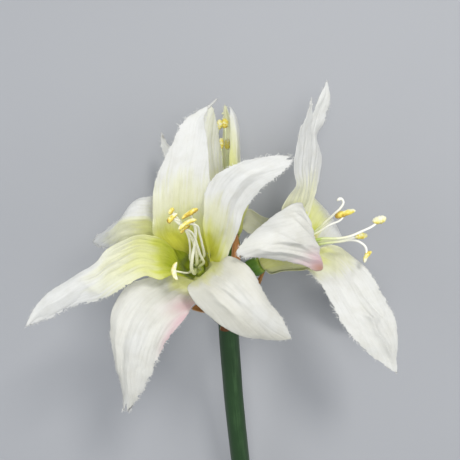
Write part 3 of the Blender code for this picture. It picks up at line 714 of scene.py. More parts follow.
def frames_along(path):
    tangents = np.gradient(path, axis=0)
    tangents /= np.linalg.norm(tangents, axis=1, keepdims=True)
    side = square_to((0.31, 0.17, 0.93), tangents[0])
    a = []
    for t in tangents:
        side = square_to(side, t)
        a.append(side)
    a = np.array(a)
    return a, np.cross(tangents, a)


def tube(path, radii, sides, shape=None):
    """Rings along a path. shape(turn, share) scales the radius around and along. Returns verts, faces, turn and length at each vertex."""
    path = np.asarray(path, float)
    a, b = frames_along(path)
    turn = np.linspace(0, 2 * math.pi, sides, endpoint=False)
    share = np.linspace(0, 1, len(path))
    r = np.broadcast_to(np.asarray(radii, float)[:, None], (len(path), sides)).copy()
    if shape is not None:
        r *= shape(turn[None, :], share[:, None])
    rows = path[:, None] + r[..., None] * (np.cos(turn)[None, :, None] * a[:, None] + np.sin(turn)[None, :, None] * b[:, None])
    n = len(path)
    faces = [
        (k * sides + s, k * sides + (s + 1) % sides, (k + 1) * sides + (s + 1) % sides, (k + 1) * sides + s)
        for k in range(n - 1) for s in range(sides)
    ]
    faces.append(tuple(range(sides - 1, -1, -1)))
    faces.append(tuple((n - 1) * sides + s for s in range(sides)))
    length = chord_knots(path)
    return rows.reshape(-1, 3), faces, np.tile(turn, n), np.repeat(length, sides)


# ---- fabric petals ----------------------------------------------------------------------
SHEET = 0.45        # cloth thickness
LAYER_GAP = 0.62    # one petal's base lies this far outside the next
WIDEN = 1.5         # petals overlap at their bases

# layer: how far out the base lies; tuck: how far each edge runs on under its neighbour near the throat;
# reach: how far the dye runs; tip: width of the tip; folds: (from along, across, to along, across, width, height),
# widths and heights in mm, along 0 to 1 from base to tip, across -1 to 1, height towards the eye;
# frays: (edge, from, to, strength); threads: (edge, along, lean, length, radius)
# cream: how strong that duller tint is, partly the cloth's own tone and partly painted shade
LOOKS = {
    "petal_a1": dict(layer=2, tuck=(0.15, 0.0), under=((-1, 2, -14, 0.4, 0.0), (0, 2, -40, 2.0, -1.5), (1, 2, -15, 3.5, -3.0)), reach=1.28, warm=0.6, tip=0.8, size=(190, 60), veins=0.035, calm=0.6, ruffle=0.7,
        folds=((0.25, 0.0, 0.85, 0.03, 1.3, -0.55), (0.22, -0.42, 0.60, -0.36, 1.6, -0.40), (0.2, 0.42, 0.66, 0.40, 1.5, -0.40),
               (0.35, -0.72, 0.75, -0.70, 3.0, 0.5)),
        frays=((-1, 0.82, 0.97, 1.3), (-1, 0.60, 0.82, 0.6), (1, 0.86, 0.99, 0.9)),
        threads=((1, 0.998, 57, 13.2, 0.80), (1, 0.985, 80, 4.0, 0.16), (-1, 0.875, 20, 3.0, 0.20), (-1, 0.865, 60, 2.2, 0.16), (-1, 0.915, 30, 1.8, 0.15))),
    "petal_a2": dict(layer=1, tuck=(0.0, 0.0), under=((-1, 2, -16, 0.4, 0.0), (0, 2, -30, 1.4, -2.0), (1, 2, 4, -0.6, 0.0)), reach=1.0, warm=0.5, lean=9.0, tip=3.6, size=(190, 60), veins=0.025, calm=0.6, ruffle=0.6,
        folds=((0.30, 0.05, 0.90, 0.22, 4.0, 1.0), (0.34, 0.55, 0.80, 0.62, 3.4, -0.5), (0.45, -0.35, 0.85, -0.15, 1.2, -0.35), (0.42, 0.62, 0.75, 0.55, 1.8, -0.45)),
        frays=((-1, 0.70, 1.0, 0.9), (1, 0.62, 1.0, 0.9), (-1, 0.45, 0.7, 0.4)),
        threads=((-1, 0.93, 70, 2.2, 0.17), (-1, 0.86, 50, 1.8, 0.15), (1, 0.83, -30, 2.6, 0.18), (1, 0.80, 20, 2.0, 0.15), (1, 0.70, 10, 2.4, 0.15), (1, 0.66, -20, 1.8, 0.15))),
    "petal_a3": dict(layer=0, tuck=(0.0, 0.0), reach=0.64, depth=0.42, cream=0.8, tip=0.9, size=(190, 60), veins=0.03, calm=0.6, ruffle=0.6,
        folds=((0.33, -0.15, 0.50, 0.0, 0.7, 0.7), (0.42, 0.22, 0.60, 0.12, 0.7, 0.7), (0.50, 0.55, 0.64, 0.48, 0.8, 0.6), (0.36, -0.15, 0.62, -0.05, 1.3, -0.6), (0.40, -0.42, 0.56, -0.36, 1.1, 0.6), (0.40, 0.25, 0.66, 0.25, 1.4, -0.6), (0.30, 0.5, 0.55, 0.55, 2.0, 0.7), (0.30, 0.7, 0.8, 0.72, 3.0, 0.4)),
        frays=((-1, 0.55, 0.98, 0.9), (1, 0.8, 0.99, 0.5)),
        threads=((-1, 0.70, 40, 1.8, 0.16), (-1, 0.72, 70, 1.6, 0.15), (-1, 0.86, 30, 1.6, 0.15), (1, 0.97, 60, 2.0, 0.14))),
    "petal_a4": dict(layer=3, tuck=(0.0, 0.0), under=((-2, 2, -30, 0.2, 0.0), (-1, 2, -34, 0.2, 0.0), (-1, 0, 8, 0.2, 0.0), (0, 2, -24, -0.5, -1.5), (0, 0, 22, -1.0, -2.0)), reach=0.5, depth=0.45, cream=0.5, tip=3.4, notch=4.6, size=(200, 64), veins=0.17, ruffle=0.8,
        folds=((0.30, 0.05, 0.92, 0.05, 2.2, 1.2), (0.36, -0.45, 0.75, -0.40, 1.4, -0.7), (0.36, 0.50, 0.8, 0.45, 1.6, -0.8), (0.45, 0.8, 0.85, 0.75, 2.5, 0.8), (0.24, -0.3, 0.42, -0.15, 2.2, 1.0)),
        frays=((-1, 0.55, 1.0, 1.3), (1, 0.62, 1.0, 1.3), (-1, 0.35, 0.55, 0.5)),
        threads=((1, 0.855, 0, 3.2, 0.20), (1, 0.84, -15, 2.2, 0.17), (1, 0.87, 25, 2.6, 0.18), (-1, 0.62, -10, 2.6, 0.17), (-1, 0.60, 25, 2.2, 0.17), (-1, 0.56, 10, 2.4, 0.15), (1, 0.99, 70, 3.0, 0.20), (-1, 0.99, 60, 2.4, 0.18))),
    "petal_a5": dict(layer=0, tuck=(0.0, 0.0), reach=1.42, tip=1.2, size=(210, 64), veins=0.20, ruffle=0.6,
        folds=((0.30, -0.25, 0.62, -0.1, 1.4, -0.5), (0.32, 0.2, 0.66, 0.15, 1.4, -0.5), (0.30, 0.62, 0.6, 0.55, 1.6, -0.4), (0.32, -0.66, 0.6, -0.6, 1.6, -0.4),
               (0.60, -0.9, 0.72, 0.95, 3.2, 0.8), (0.68, 0.0, 0.97, 0.0, 2.0, 0.6)),
        frays=((-1, 0.45, 0.98, 0.9), (1, 0.75, 0.98, 0.5)),
        threads=((-1, 0.56, 20, 2.2, 0.15), (-1, 0.5, 40, 1.8, 0.15), (-1, 0.82, -20, 1.8, 0.15))),
    # petal_a6 keeps its dye below the lengthwise fold: partly the cloth's own yellow-green, partly painted shade on the
    # lower half that turns down towards the throat
    "petal_a6": dict(layer=3, tuck=(0.5, 0.5), reach=1.55, below=0.0, tip=2.6, size=(170, 56), veins=0.12, ruffle=0.8,
        folds=((0.30, 0.02, 0.92, 0.0, 2.4, 1.3), (0.40, 0.55, 0.8, 0.5, 1.4, -0.35), (0.40, -0.5, 0.8, -0.45, 1.5, -0.4)),
        frays=((-1, 0.75, 1.0, 1.4), (1, 0.7, 1.0, 1.3), (1, 0.45, 0.7, 0.5)),
        threads=((1, 0.97, 60, 2.6, 0.18), (-1, 0.97, 55, 2.8, 0.18), (-1, 0.9, 20, 2.0, 0.15))),
    "petal_b1": dict(layer=2, tuck=(0.2, 0.2), reach=0.8, depth=0.3, tip=1.0, size=(110, 36), veins=0.08, ruffle=0.5,
        folds=((0.3, 0.0, 0.9, 0.0, 1.6, 0.5),), frays=((-1, 0.8, 1.0, 0.9), (1, 0.8, 1.0, 0.9)), threads=(), stain=(0.965, 0.3, 1.6)),
    "petal_b2": dict(layer=0, tuck=(0.2, 0.2), reach=0.9, depth=0.35, least=0.08, tip=0.9, size=(150, 48), veins=0.10, ruffle=0.5,
        folds=((0.4, 0.35, 0.95, 0.3, 1.6, 0.5), (0.4, 0.68, 0.9, 0.66, 1.0, -0.35)), frays=((1, 0.6, 0.98, 0.7),), threads=()),
    "petal_b3": dict(layer=2, tuck=(0.2, 0.2), reach=1.9, depth=0.5, least=0.20, warm=0.8, tip=0.9, size=(140, 44), veins=0.08, ruffle=0.5,
        folds=((0.4, 0.0, 0.9, 0.0, 1.4, 0.5),), frays=((-1, 0.85, 1.0, 0.9), (1, 0.8, 1.0, 0.6)), threads=((-1, 0.97, 60, 2.0, 0.16),)),
    "petal_b4": dict(layer=2, tuck=(0.2, 0.2), reach=1.2, depth=0.5, warm=0.4, lean=22.0, tip=0.9, size=(150, 48), veins=0.08, ruffle=0.4,
        folds=((0.4, -0.35, 0.96, -0.3, 1.3, 0.9),), frays=((1, 0.6, 0.98, 0.7), (-1, 0.9, 1.0, 0.9)), threads=()),
    "petal_b5": dict(layer=0, tuck=(0.2, 0.2), reach=0.9, depth=0.12, tip=0.9, size=(130, 40), veins=0.08, ruffle=0.4,
        folds=((0.35, 0.1, 0.8, 0.1, 1.6, 0.5),), frays=((-1, 0.5, 1.0, 0.5),), threads=()),
    "petal_b6": dict(layer=0, tuck=(0.2, 0.2), reach=1.0, tip=1.0, size=(120, 40), veins=0.08, ruffle=0.4,
        folds=((0.35, 0.0, 0.8, 0.0, 1.6, 0.5),), frays=((1, 0.6, 1.0, 0.6), (-1, 0.6, 1.0, 0.6)), threads=()),
    "petal_c1": dict(layer=2, tuck=(0.2, 0.2), reach=1.2, depth=0.20, tip=0.9, size=(190, 50), veins=0.08, ruffle=0.6,
        folds=((0.35, 0.1, 0.9, 0.1, 2.0, 0.6), (0.4, 0.55, 0.7, 0.6, 1.6, 0.5)),
        frays=((1, 0.80, 0.90, 1.4), (-1, 0.85, 1.0, 0.6), (1, 0.9, 1.0, 0.5)),
        threads=((1, 0.845, -20, 3.0, 0.20), (1, 0.85, 20, 2.4, 0.17), (1, 0.865, 10, 2.6, 0.16), (1, 0.88, 30, 1.8, 0.15))),
    "petal_c2": dict(layer=0, tuck=(0.2, 0.2), reach=1.15, depth=0.30, tip=1.0, size=(180, 52), veins=0.08, ruffle=0.5,
        folds=((0.35, -0.3, 0.85, -0.2, 1.8, 0.6), (0.35, 0.3, 0.85, 0.25, 1.6, -0.45), (0.3, 0.75, 0.7, 0.7, 1.6, 0.4)),
        frays=((-1, 0.75, 1.0, 1.0), (1, 0.85, 1.0, 0.8)), threads=((-1, 0.97, 60, 2.4, 0.17), (1, 0.98, 60, 2.0, 0.16))),
    "petal_c3": dict(layer=2, tuck=(0.1, 0.1), reach=0.66, depth=0.45, cream=0.4, ear=(1, 0.545, 2.6, 6.5), tip=1.2, size=(200, 64), veins=0.08, ruffle=0.6,
        folds=((0.50, 0.75, 0.80, -0.55, 1.0, 1.2), (0.48, 0.55, 0.66, -0.70, 1.0, 1.1), (0.50, 0.88, 0.88, 0.10, 1.0, 1.2), (0.47, 0.05, 0.62, -0.75, 0.9, 1.1), (0.49, 0.45, 0.78, 0.0, 0.9, 1.1), (0.47, -0.2, 0.56, -0.9, 0.9, 0.9), (0.52, 0.72, 0.80, 0.35, 0.9, -1.0),
               (0.52, 0.6, 0.85, -0.15, 1.0, -0.8), (0.55, 0.95, 0.92, 0.55, 1.1, -0.7), (0.46, 0.3, 0.55, -0.8, 1.2, -0.8)),
        frays=((1, 0.86, 1.0, 1.3), (-1, 0.9, 1.0, 0.8), (1, 0.6, 0.86, 0.4)),
        threads=((1, 0.96, 30, 2.2, 0.16), (1, 0.93, 50, 2.0, 0.16), (1, 0.98, 60, 2.0, 0.16))),
    "petal_c4": dict(layer=0, tuck=(0.1, 0.1), reach=1.0, depth=0.40, cream=0.25, tip=1.2, size=(210, 64), veins=0.10, ruffle=0.7,
        folds=((0.62, 0.05, 0.97, 0.15, 1.4, 2.0), (0.52, 0.35, 0.72, 0.55, 1.4, -1.3), (0.66, -0.1, 0.72, 0.35, 1.6, 1.4), (0.36, 0.9, 0.50, 0.2, 1.6, -1.0), (0.34, 0.5, 0.46, -0.3, 1.8, 0.8), (0.40, -0.4, 0.66, -0.35, 1.5, -0.4), (0.58, -0.45, 0.86, -0.25, 1.4, -0.5)),
        frays=((-1, 0.30, 0.50, 0.9), (-1, 0.5, 0.99, 1.0), (1, 0.45, 0.80, 0.8), (1, 0.8, 1.0, 0.4)),
        threads=((-1, 0.37, -30, 4.6, 0.22), (-1, 0.39, -10, 2.6, 0.17), (-1, 0.60, -50, 4.4, 0.2), (-1, 0.62, -35, 3.8, 0.2), (-1, 0.605, -20, 2.8, 0.17), (-1, 0.76, -10, 2.6, 0.18), (-1, 0.78, 10, 2.2, 0.17), (1, 0.665, 30, 2.4, 0.17), (1, 0.68, 60, 2.0, 0.15))),
    "petal_c5": dict(layer=0, tuck=(0.2, 0.2), reach=1.5, depth=0.62, below=0.2, tip=1.0, size=(140, 44), veins=0.10, ruffle=0.4,
        folds=((0.35, 0.0, 0.8, 0.0, 1.6, -0.5),), frays=((1, 0.5, 1.0, 0.5), (-1, 0.6, 1.0, 0.5)), threads=()),
    "petal_c6": dict(layer=2, tuck=(0.2, 0.2), reach=0.9, depth=0.22, tip=1.0, size=(140, 44), veins=0.08, ruffle=0.4,
        folds=((0.35, 0.0, 0.8, 0.0, 1.6, 0.5),), frays=((1, 0.5, 1.0, 0.5), (-1, 0.6, 1.0, 0.5)), threads=()),
}
BLUSH = {   # (along, across, spread along mm, spread across mm, strength)
    "petal_a4": ((0.33, -0.80, 10.0, 8.0, 0.72), (0.42, -0.97, 12.0, 5.5, 0.72), (0.54, -1.0, 15.0, 3.5, 0.6)),
    "petal_c3": ((0.53, 0.86, 10.0, 7.0, 0.75), (0.60, 0.95, 12.0, 5.5, 0.5)),
}
RUST = {"petal_c3": ((0.520, 1.05, 7.5, 3.4, 1.0),)}


class Petal:
    """A petal's cloth: its surface at any place along and across, and where its edges are."""

    def __init__(self, name):
        bloom, azimuth, rings, stations, tip = PETALS[name]
        self.name, self.look = name, LOOKS[name]
        self.seed = sum((i + 3) * ord(c) for i, c in enumerate(name)) % 9973
        frame = BLOOMS[bloom]
        out = LAYER_GAP * self.look["layer"]
        # the foot of the cloth turns in onto the plug, so that the throat is closed
        step = 0.25 + 0.5 * (3 - self.look["layer"])
        rows = [[frame.at(step, 4.75, azimuth + s * 38) for s in (1, 0, -1)]]
        for i in range(rings):
            along, radius, width = RING[i]
            radius += out
            half = math.degrees(0.5 * width * WIDEN / radius)
            rows.append([frame.at(max(along, step + 0.8), radius, azimuth + s * half) for s in (1, 0, -1)])
        body = [[sight(*p) for p in row] for row in stations]
        if np.linalg.norm(body[0][0] - rows[-1][0]) > np.linalg.norm(body[0][0] - rows[-1][2]):
            rows = [row[::-1] for row in rows]
        for k, share in enumerate((1.0, 0.45)):
            for side, tuck in ((0, self.look["tuck"][0]), (2, self.look["tuck"][1])):
                if tuck:
                    edge, mid = body[k][side], body[k][1]
                    body[k][side] = edge + (edge - mid) * tuck * share + frame.outward(edge) * 2.2 * tuck * share - frame.axis * 2.0 * tuck * share
        rows += body
        for k, side, degrees, radial, forward in self.look.get("under", ()):
            place = 1 + rings + k
            rows[place][side] = frame.turned(rows[place][side], degrees, radial, forward)
        across = unit(rows[-1][0] - rows[-1][2])
        end, width = sight(*tip), self.look["tip"]
        rows.append([end + across * width / 2, end, end - across * width / 2])
        self.lines = np.array(rows)
        self.knots = chord_knots(self.lines[:, 1])
        self.length = self.knots[-1]
        toward = self.normals(*np.meshgrid(np.linspace(0.3, 0.9, 7), np.linspace(-0.8, 0.8, 7), indexing="ij"))
        self.face = 1.0
        where = self.flat(*np.meshgrid(np.linspace(0.3, 0.9, 7), np.linspace(-0.8, 0.8, 7), indexing="ij"))
        self.face = 1.0 if np.sum(toward * (EYE - where)) > 0 else -1.0

    def flat(self, u, v):
        t = np.asarray(u) * self.length
        left, mid, right = (curve(self.lines[:, k], self.knots, t) for k in range(3))
        w = (np.asarray(v)[..., None] + 1) / 2
        return left * (1 - w) * (1 - 2 * w) + mid * 4 * w * (1 - w) + right * w * (2 * w - 1)

    def normals(self, u, v):
        e = 0.004
        along = self.flat(np.clip(u + e, 0, 1), v) - self.flat(np.clip(u - e, 0, 1), v)
        side = self.flat(u, np.asarray(v) + e) - self.flat(u, np.asarray(v) - e)
        n = np.cross(along, side)
        return n / np.maximum(np.linalg.norm(n, axis=-1, keepdims=True), 1e-9) * getattr(self, "face", 1.0)

    def half(self, u):
        """Half the width at a share of the length, in mm."""
        u = np.atleast_1d(u)
        return np.linalg.norm(self.flat(u, np.full(u.shape, -1.0)) - self.flat(u, np.full(u.shape, 1.0)), axis=-1) / 2

    def lift(self, u, v):
        """How far the cloth stands from the smooth surface, in mm towards the eye."""
        look, seed = self.look, self.seed
        a = u * self.length
        h = np.interp(u.ravel(), np.linspace(0, 1, 60), self.half(np.linspace(0, 1, 60))).reshape(u.shape)
        c = v * h
        awake = ease(14, 40, a)
        waves = wander(seed, a / 11.0 + 3) * 0.7 + wander(seed + 1, a / 4.6) * 0.35
        other = wander(seed + 2, a / 12.0 + 9) * 0.7 + wander(seed + 3, a / 5.2) * 0.35
        rise = look["ruffle"] * np.where(v < 0, waves, other) * np.abs(v) ** 2.5
        warp = v + 0.035 * mottle(seed + 4, a / 14.0, v * 3.0 + 7)
        count = 6.5
        rib = np.abs(np.cos(math.pi * warp * count)) ** 7
        rise -= look["veins"] * rib * ease(0, 0.3, 1 - u) * (0.55 + 0.45 * mottle(seed + 5, a / 17.0, v * 5 + 3)) * np.clip(h / 9.0, 0, 1)
        rise += look.get("calm", 1.0) * (0.34 * mottle(seed + 6, a / 17.0, c / 5.5 + 11) + 0.12 * mottle(seed + 7, a / 6.0, c / 2.6 + 5))
        crease = 1 - np.abs(mottle(seed + 11, a / 26.0 + 5, c / 2.8 + 17))
        rise -= look.get("calm", 1.0) * 0.34 * crease**6
        for u0, v0, u1, v1, width, height in look["folds"]:
            p = np.array([u0 * self.length, v0 * float(self.half(u0)[0])])
            q = np.array([u1 * self.length, v1 * float(self.half(u1)[0])])
            d = q - p
            span = np.linalg.norm(d)
            s = ((a - p[0]) * d[0] + (c - p[1]) * d[1]) / span**2
            off = ((a - p[0]) * d[1] - (c - p[1]) * d[0]) / span
            off = off + 0.5 * wander(seed + 8, a / 6.0)
            rise += 1.35 * height * ease(-0.15, 0.25, s) * (1 - ease(0.65, 1.1, s)) * np.exp(-(np.sqrt(off**2 + 0.09) - 0.3) / width)
        return rise * awake

    def place(self, u, v):
        return self.flat(u, v) + self.normals(u, v) * self.lift(u, v)[..., None]

    def dye(self, u, v):
        a = u * self.length + 7.0 * v**2
        a = a + 5.0 * mottle(self.seed + 9, u * self.length / 22.0, v * 6.0 + 4)
        a = a + self.look.get("lean", 0.0) * v
        k = self.look["reach"]
        deep = 0.34 * (1 - ease(26, 74 * k, a)) + 0.32 * (1 - ease(17, 50 * k, a)) + 0.34 * (1 - ease(8, 34 * k, a))
        if "below" in self.look:   # dyed only on the first edge's side of a fold
            deep = deep * (1 - 0.88 * ease(self.look["below"] - 0.12, self.look["below"] + 0.16, v + 0.05 * mottle(self.seed + 10, u * 20, v * 3 + 9)) * ease(0.2, 0.34, u))
        deep = np.maximum(deep, self.look.get("least", 0.0))
        return np.minimum(deep, self.look.get("depth", 1.0) * (0.9 + 0.1 * deep))


def make_petal(name):
    petal = Petal(name)
    look, seed = petal.look, petal.seed
    rows, cols = look["size"]
    u0 = np.linspace(0, 1, rows)
    s = np.linspace(-1, 1, cols)
    v0 = 0.8 * s + 0.2 * np.sin(math.pi / 2 * s)
    # the cut edges wander a little everywhere and are torn where they fray
    rng = np.random.default_rng(seed)
    half = np.maximum(petal.half(u0), 2.0)
    edges = []
    for side in (-1, 1):
        torn = np.full(rows, 0.10)
        for edge, low, high, strength in look["frays"]:
            if edge == side:
                torn += 0.52 * strength * ease(low - 0.02, low + 0.03, u0) * (1 - ease(high - 0.02, high + 0.03, u0))
        jag = rng.uniform(-1, 0.7, rows) * torn + wander(seed + 20 + side, u0 * petal.length / 2.2) * torn * 0.8
        if look.get("ear", (0,))[0] == side:
            _, at, size, spread = look["ear"]
            jag = jag + size * np.exp(-np.abs((u0 - at) * petal.length / spread) ** 3)
        edges.append(1 + jag / half)
    reach = np.where(v0[None, :] < 0, edges[0][:, None], edges[1][:, None])
    v = v0[None, :] * (1 + (reach - 1) * np.abs(v0[None, :]) ** 8)
    ragged = rng.uniform(0, 1, cols) * 0.9 * min(look["tip"], 3.0) / petal.length
    if "notch" in look or look["tip"] > 2.4:
        ragged += look.get("notch", 2.6) / petal.length * np.exp(-((v0 - 0.15) / 0.3) ** 2)
    u = u0[:, None] * (1 - ragged[None, :] * ease(0.93, 1.0, u0)[:, None])
    grid = petal.place(u, v)
    n = petal.normals(u, v)
    if name in ON_SURFACE:
        low = (grid[..., 2] - SHEET / 2).min()
        grid[..., 2] -= low * np.clip((u0[:, None] - 0.5) / 0.5, 0, 1) ** 2
    thick = SHEET * (1 - 0.5 * np.abs(v) ** 10) / 2
    top, bottom = grid + n * thick[..., None], grid - n * thick[..., None]
    if name in ON_SURFACE:
        bottom[..., 2] = np.maximum(bottom[..., 2], 0.0)
        top[..., 2] = np.maximum(top[..., 2], 0.0)
    i = np.arange(rows * cols).reshape(rows, cols)
    quads = np.stack([i[:-1, :-1], i[1:, :-1], i[1:, 1:], i[:-1, 1:]], -1).reshape(-1, 4)
    rim = np.concatenate([i[0, :], i[1:, -1], i[-1, -2::-1], i[-2:0:-1, 0]])
    low = rows * cols
    sides = np.stack([rim, np.roll(rim, -1), np.roll(rim, -1) + low, rim + low], -1)
    faces = np.concatenate([quads, quads[:, ::-1] + low, sides])
    if petal.face < 0:
        faces = faces[:, ::-1]
    flipped = np.concatenate([top.reshape(-1, 3), bottom.reshape(-1, 3)])
    across = (v * half[:, None]).ravel()
    along = (u * petal.length).ravel()
    dye = petal.dye(u, v).ravel()
    blush = np.zeros(low)
    for bu, bv, sa, sc, strength in BLUSH.get(name, ()):
        there = float(petal.half(bu)[0])
        blush = np.maximum(blush, strength * np.exp(-(((along - bu * petal.length) / sa) ** 2) - ((across - bv * there) / sc) ** 2))
    rust = np.zeros(low)
    for bu, bv, sa, sc, strength in RUST.get(name, ()):
        there = float(petal.half(bu)[0])
        rust = np.maximum(rust, strength * np.exp(-(((along - bu * petal.length) / sa) ** 2) - ((across - bv * there) / sc) ** 2))
    stain = np.zeros(low)
    if "stain" in look:
        su, sv, size = look["stain"]
        stain = 0.55 * np.exp(-(((along - su * petal.length) / size) ** 2) - ((across - sv * float(petal.half(su)[0])) / size) ** 2)
    # the cream value carries the tint that partly paints the petals' shade
    values = {k: np.tile(x, 2) for k, x in (("across", across), ("along", along), ("dye", dye), ("blush", blush), ("stain", stain), ("rust", rust), ("warm", np.full(low, look.get("warm", 0.0))),
        ("cream", look.get("cream", 0.0) * (0.6 + 0.4 * mottle(seed + 12, u * 5 + 3, v * 1.5 + 6)).ravel()))}
    flat = np.arange(2 * len(quads), len(faces))
    made = piece(name, flipped, faces, [FABRIC], [name], values, flat)
    fray = make_fray(petal, rng)
    width = 2 * float(petal.half(np.linspace(0, 1, 60)).max())
    steps = np.linalg.norm(np.cross(np.diff(grid, axis=0)[:, :-1], np.diff(grid, axis=1)[:-1]), axis=-1)
    area = float(steps.sum())
    return petal, made, fray, (width, petal.length, area)


def fibre(start, out, length, radius, bend, segments=5):
    """A loose thread: a thin closed tube that leaves the edge and curls."""
    t = np.linspace(0, 1, segments)[:, None]
    path = start + out * length * t + bend * length * t**2
    verts, faces, _, _ = tube(path, radius * (1 - 0.35 * t[:, 0]), 4)
    return verts, faces


def make_fray(petal, rng):
    """Loose threads and short torn fibres along the cut edges, as one piece of many thin closed tubes."""
    look = petal.look
    wanted = []   # across, along, lean in degrees, length, radius, curl
    for side, u, lean, length, radius in look["threads"]:
        wanted.append((side, u, lean, length, radius * 1.15, 0.16))
    for side, low, high, strength in look["frays"]:
        for _ in range(int((high - low) * petal.length * 1.5 * min(strength, 1.2))):
            wanted.append((side, rng.uniform(low, high), rng.uniform(-50, 65), rng.uniform(0.6, 2.0) * (0.6 + 0.5 * strength), rng.uniform(0.07, 0.14), 0.5))
    for side in (-1, 1):
        for _ in range(int(petal.length * 0.22)):
            wanted.append((side, rng.uniform(0.35, 1.0), rng.uniform(-60, 60), rng.uniform(0.4, 1.0), rng.uniform(0.05, 0.08), 0.5))
    for _ in range(int(4 + 3 * look["tip"])):
        wanted.append((rng.uniform(-1, 1), rng.uniform(0.985, 1.0), rng.uniform(60, 110), rng.uniform(0.6, 1.7), rng.uniform(0.07, 0.13), 0.4))
    v, u = (np.array([w[k] for w in wanted], float) for k in (0, 1))
    here, inner = petal.place(u, v * 0.985), petal.place(u, v * 0.9)
    ahead = petal.place(np.minimum(u + 0.01, 1), v * 0.985) - petal.place(np.maximum(u - 0.01, 0), v * 0.985)
    normal, dye = petal.normals(u, v), petal.dye(u, v)
    parts = Parts("across", "along", "dye", "blush", "stain")
    for k, (_, at, lean, length, radius, curl) in enumerate(wanted):
        forward, n = unit(ahead[k]), normal[k]
        sideways = here[k] - inner[k]
        out = square_to(sideways, forward) if np.linalg.norm(np.cross(sideways, forward)) > 1e-4 else square_to(n, forward)
        turned = math.radians(lean)
        way = unit(out * math.cos(turned) + forward * math.sin(turned) + n * rng.uniform(-0.25, 0.25))
        bend = (forward * rng.uniform(-1, 1) + out * rng.uniform(-0.6, 0.3) + n * rng.uniform(-0.6, 0.6)) * curl
        verts, faces = fibre(here[k], way, length, radius, bend, 7 if length > 2 else 4)
        verts[:, 2] = np.maximum(verts[:, 2], 0.02)
        parts.add(verts, faces, across=rng.uniform(-9, 9), along=at * petal.length, dye=float(dye[k]) * 0.8)
    return parts.make(petal.name.replace("petal", "fray"), [FABRIC])


for petal_name in PETALS:
    petal, cloth, fray, cut = make_petal(petal_name)
    print("stations", petal_name, [round(float(x / petal.length), 2) for x in petal.knots])
    print("cut", petal_name, [round(x, 1) for x in cut], "of the rectangle", round(cut[2] / (cut[0] * cut[1]), 3))


# ---- stamens and styles ------------------------------------------------------------------
# bow: bends sideways; nod: bends towards the eye; swell: thicker at the far end; tone: how golden;
# slope: more golden at the far end; under: more golden below and paler on the other side, a painted shade beneath the
# anther and a painted highlight on top
ANTHERS = {
    "stamen_a1": dict(bow=0.05, swell=-0.15, tone=0.04, slope=-0.35, under=0.2),
    "stamen_a2": dict(bow=0.03, swell=0.12, tone=0.16, slope=0.05, under=0.30),
    "stamen_a3": dict(bow=0.09, swell=-0.05, tone=-0.06, slope=0.10, under=0.30),
    "stamen_a4": dict(bow=0.16, swell=0.0, tone=-0.30, slope=0.0, under=-0.2),
    "stamen_a5": dict(bow=0.08, swell=-0.1, tone=0.16, slope=0.10, under=0.30),
    "stamen_a6": dict(blunt=2.8, bow=0.02, tone=0.10, under=0.2),
    "stamen_b1": dict(blunt=2.6, fat=1.3, bow=0.0, tone=-0.10),
    "stamen_b2": dict(blunt=2.6, fat=1.3, bow=-0.04, tone=-0.02),
    "stamen_b3": dict(blunt=2.6, fat=1.2, bow=0.0, tone=-0.08),
    "stamen_b4": dict(blunt=2.6, fat=1.2, bow=0.04, tone=-0.20),
    "stamen_b5": dict(blunt=2.6, fat=1.2, bow=0.0, tone=-0.2),
    "stamen_c1": dict(blunt=3.0, bow=0.02, swell=-0.16, tone=0.02, slope=-0.42, under=0.15),
    "stamen_c2": dict(blunt=2.2, bow=-0.03, swell=0.05, tone=-0.36, slope=0.0, under=0.42),
    "stamen_c3": dict(blunt=2.4, bow=0.02, swell=0.0, tone=-0.14, slope=-0.10, under=0.10),
    "stamen_c4": dict(blunt=3.0, bow=-0.12, swell=-0.1, tone=-0.15, slope=-0.35, under=0.10),
    "stamen_c5": dict(tone=-0.2),
}


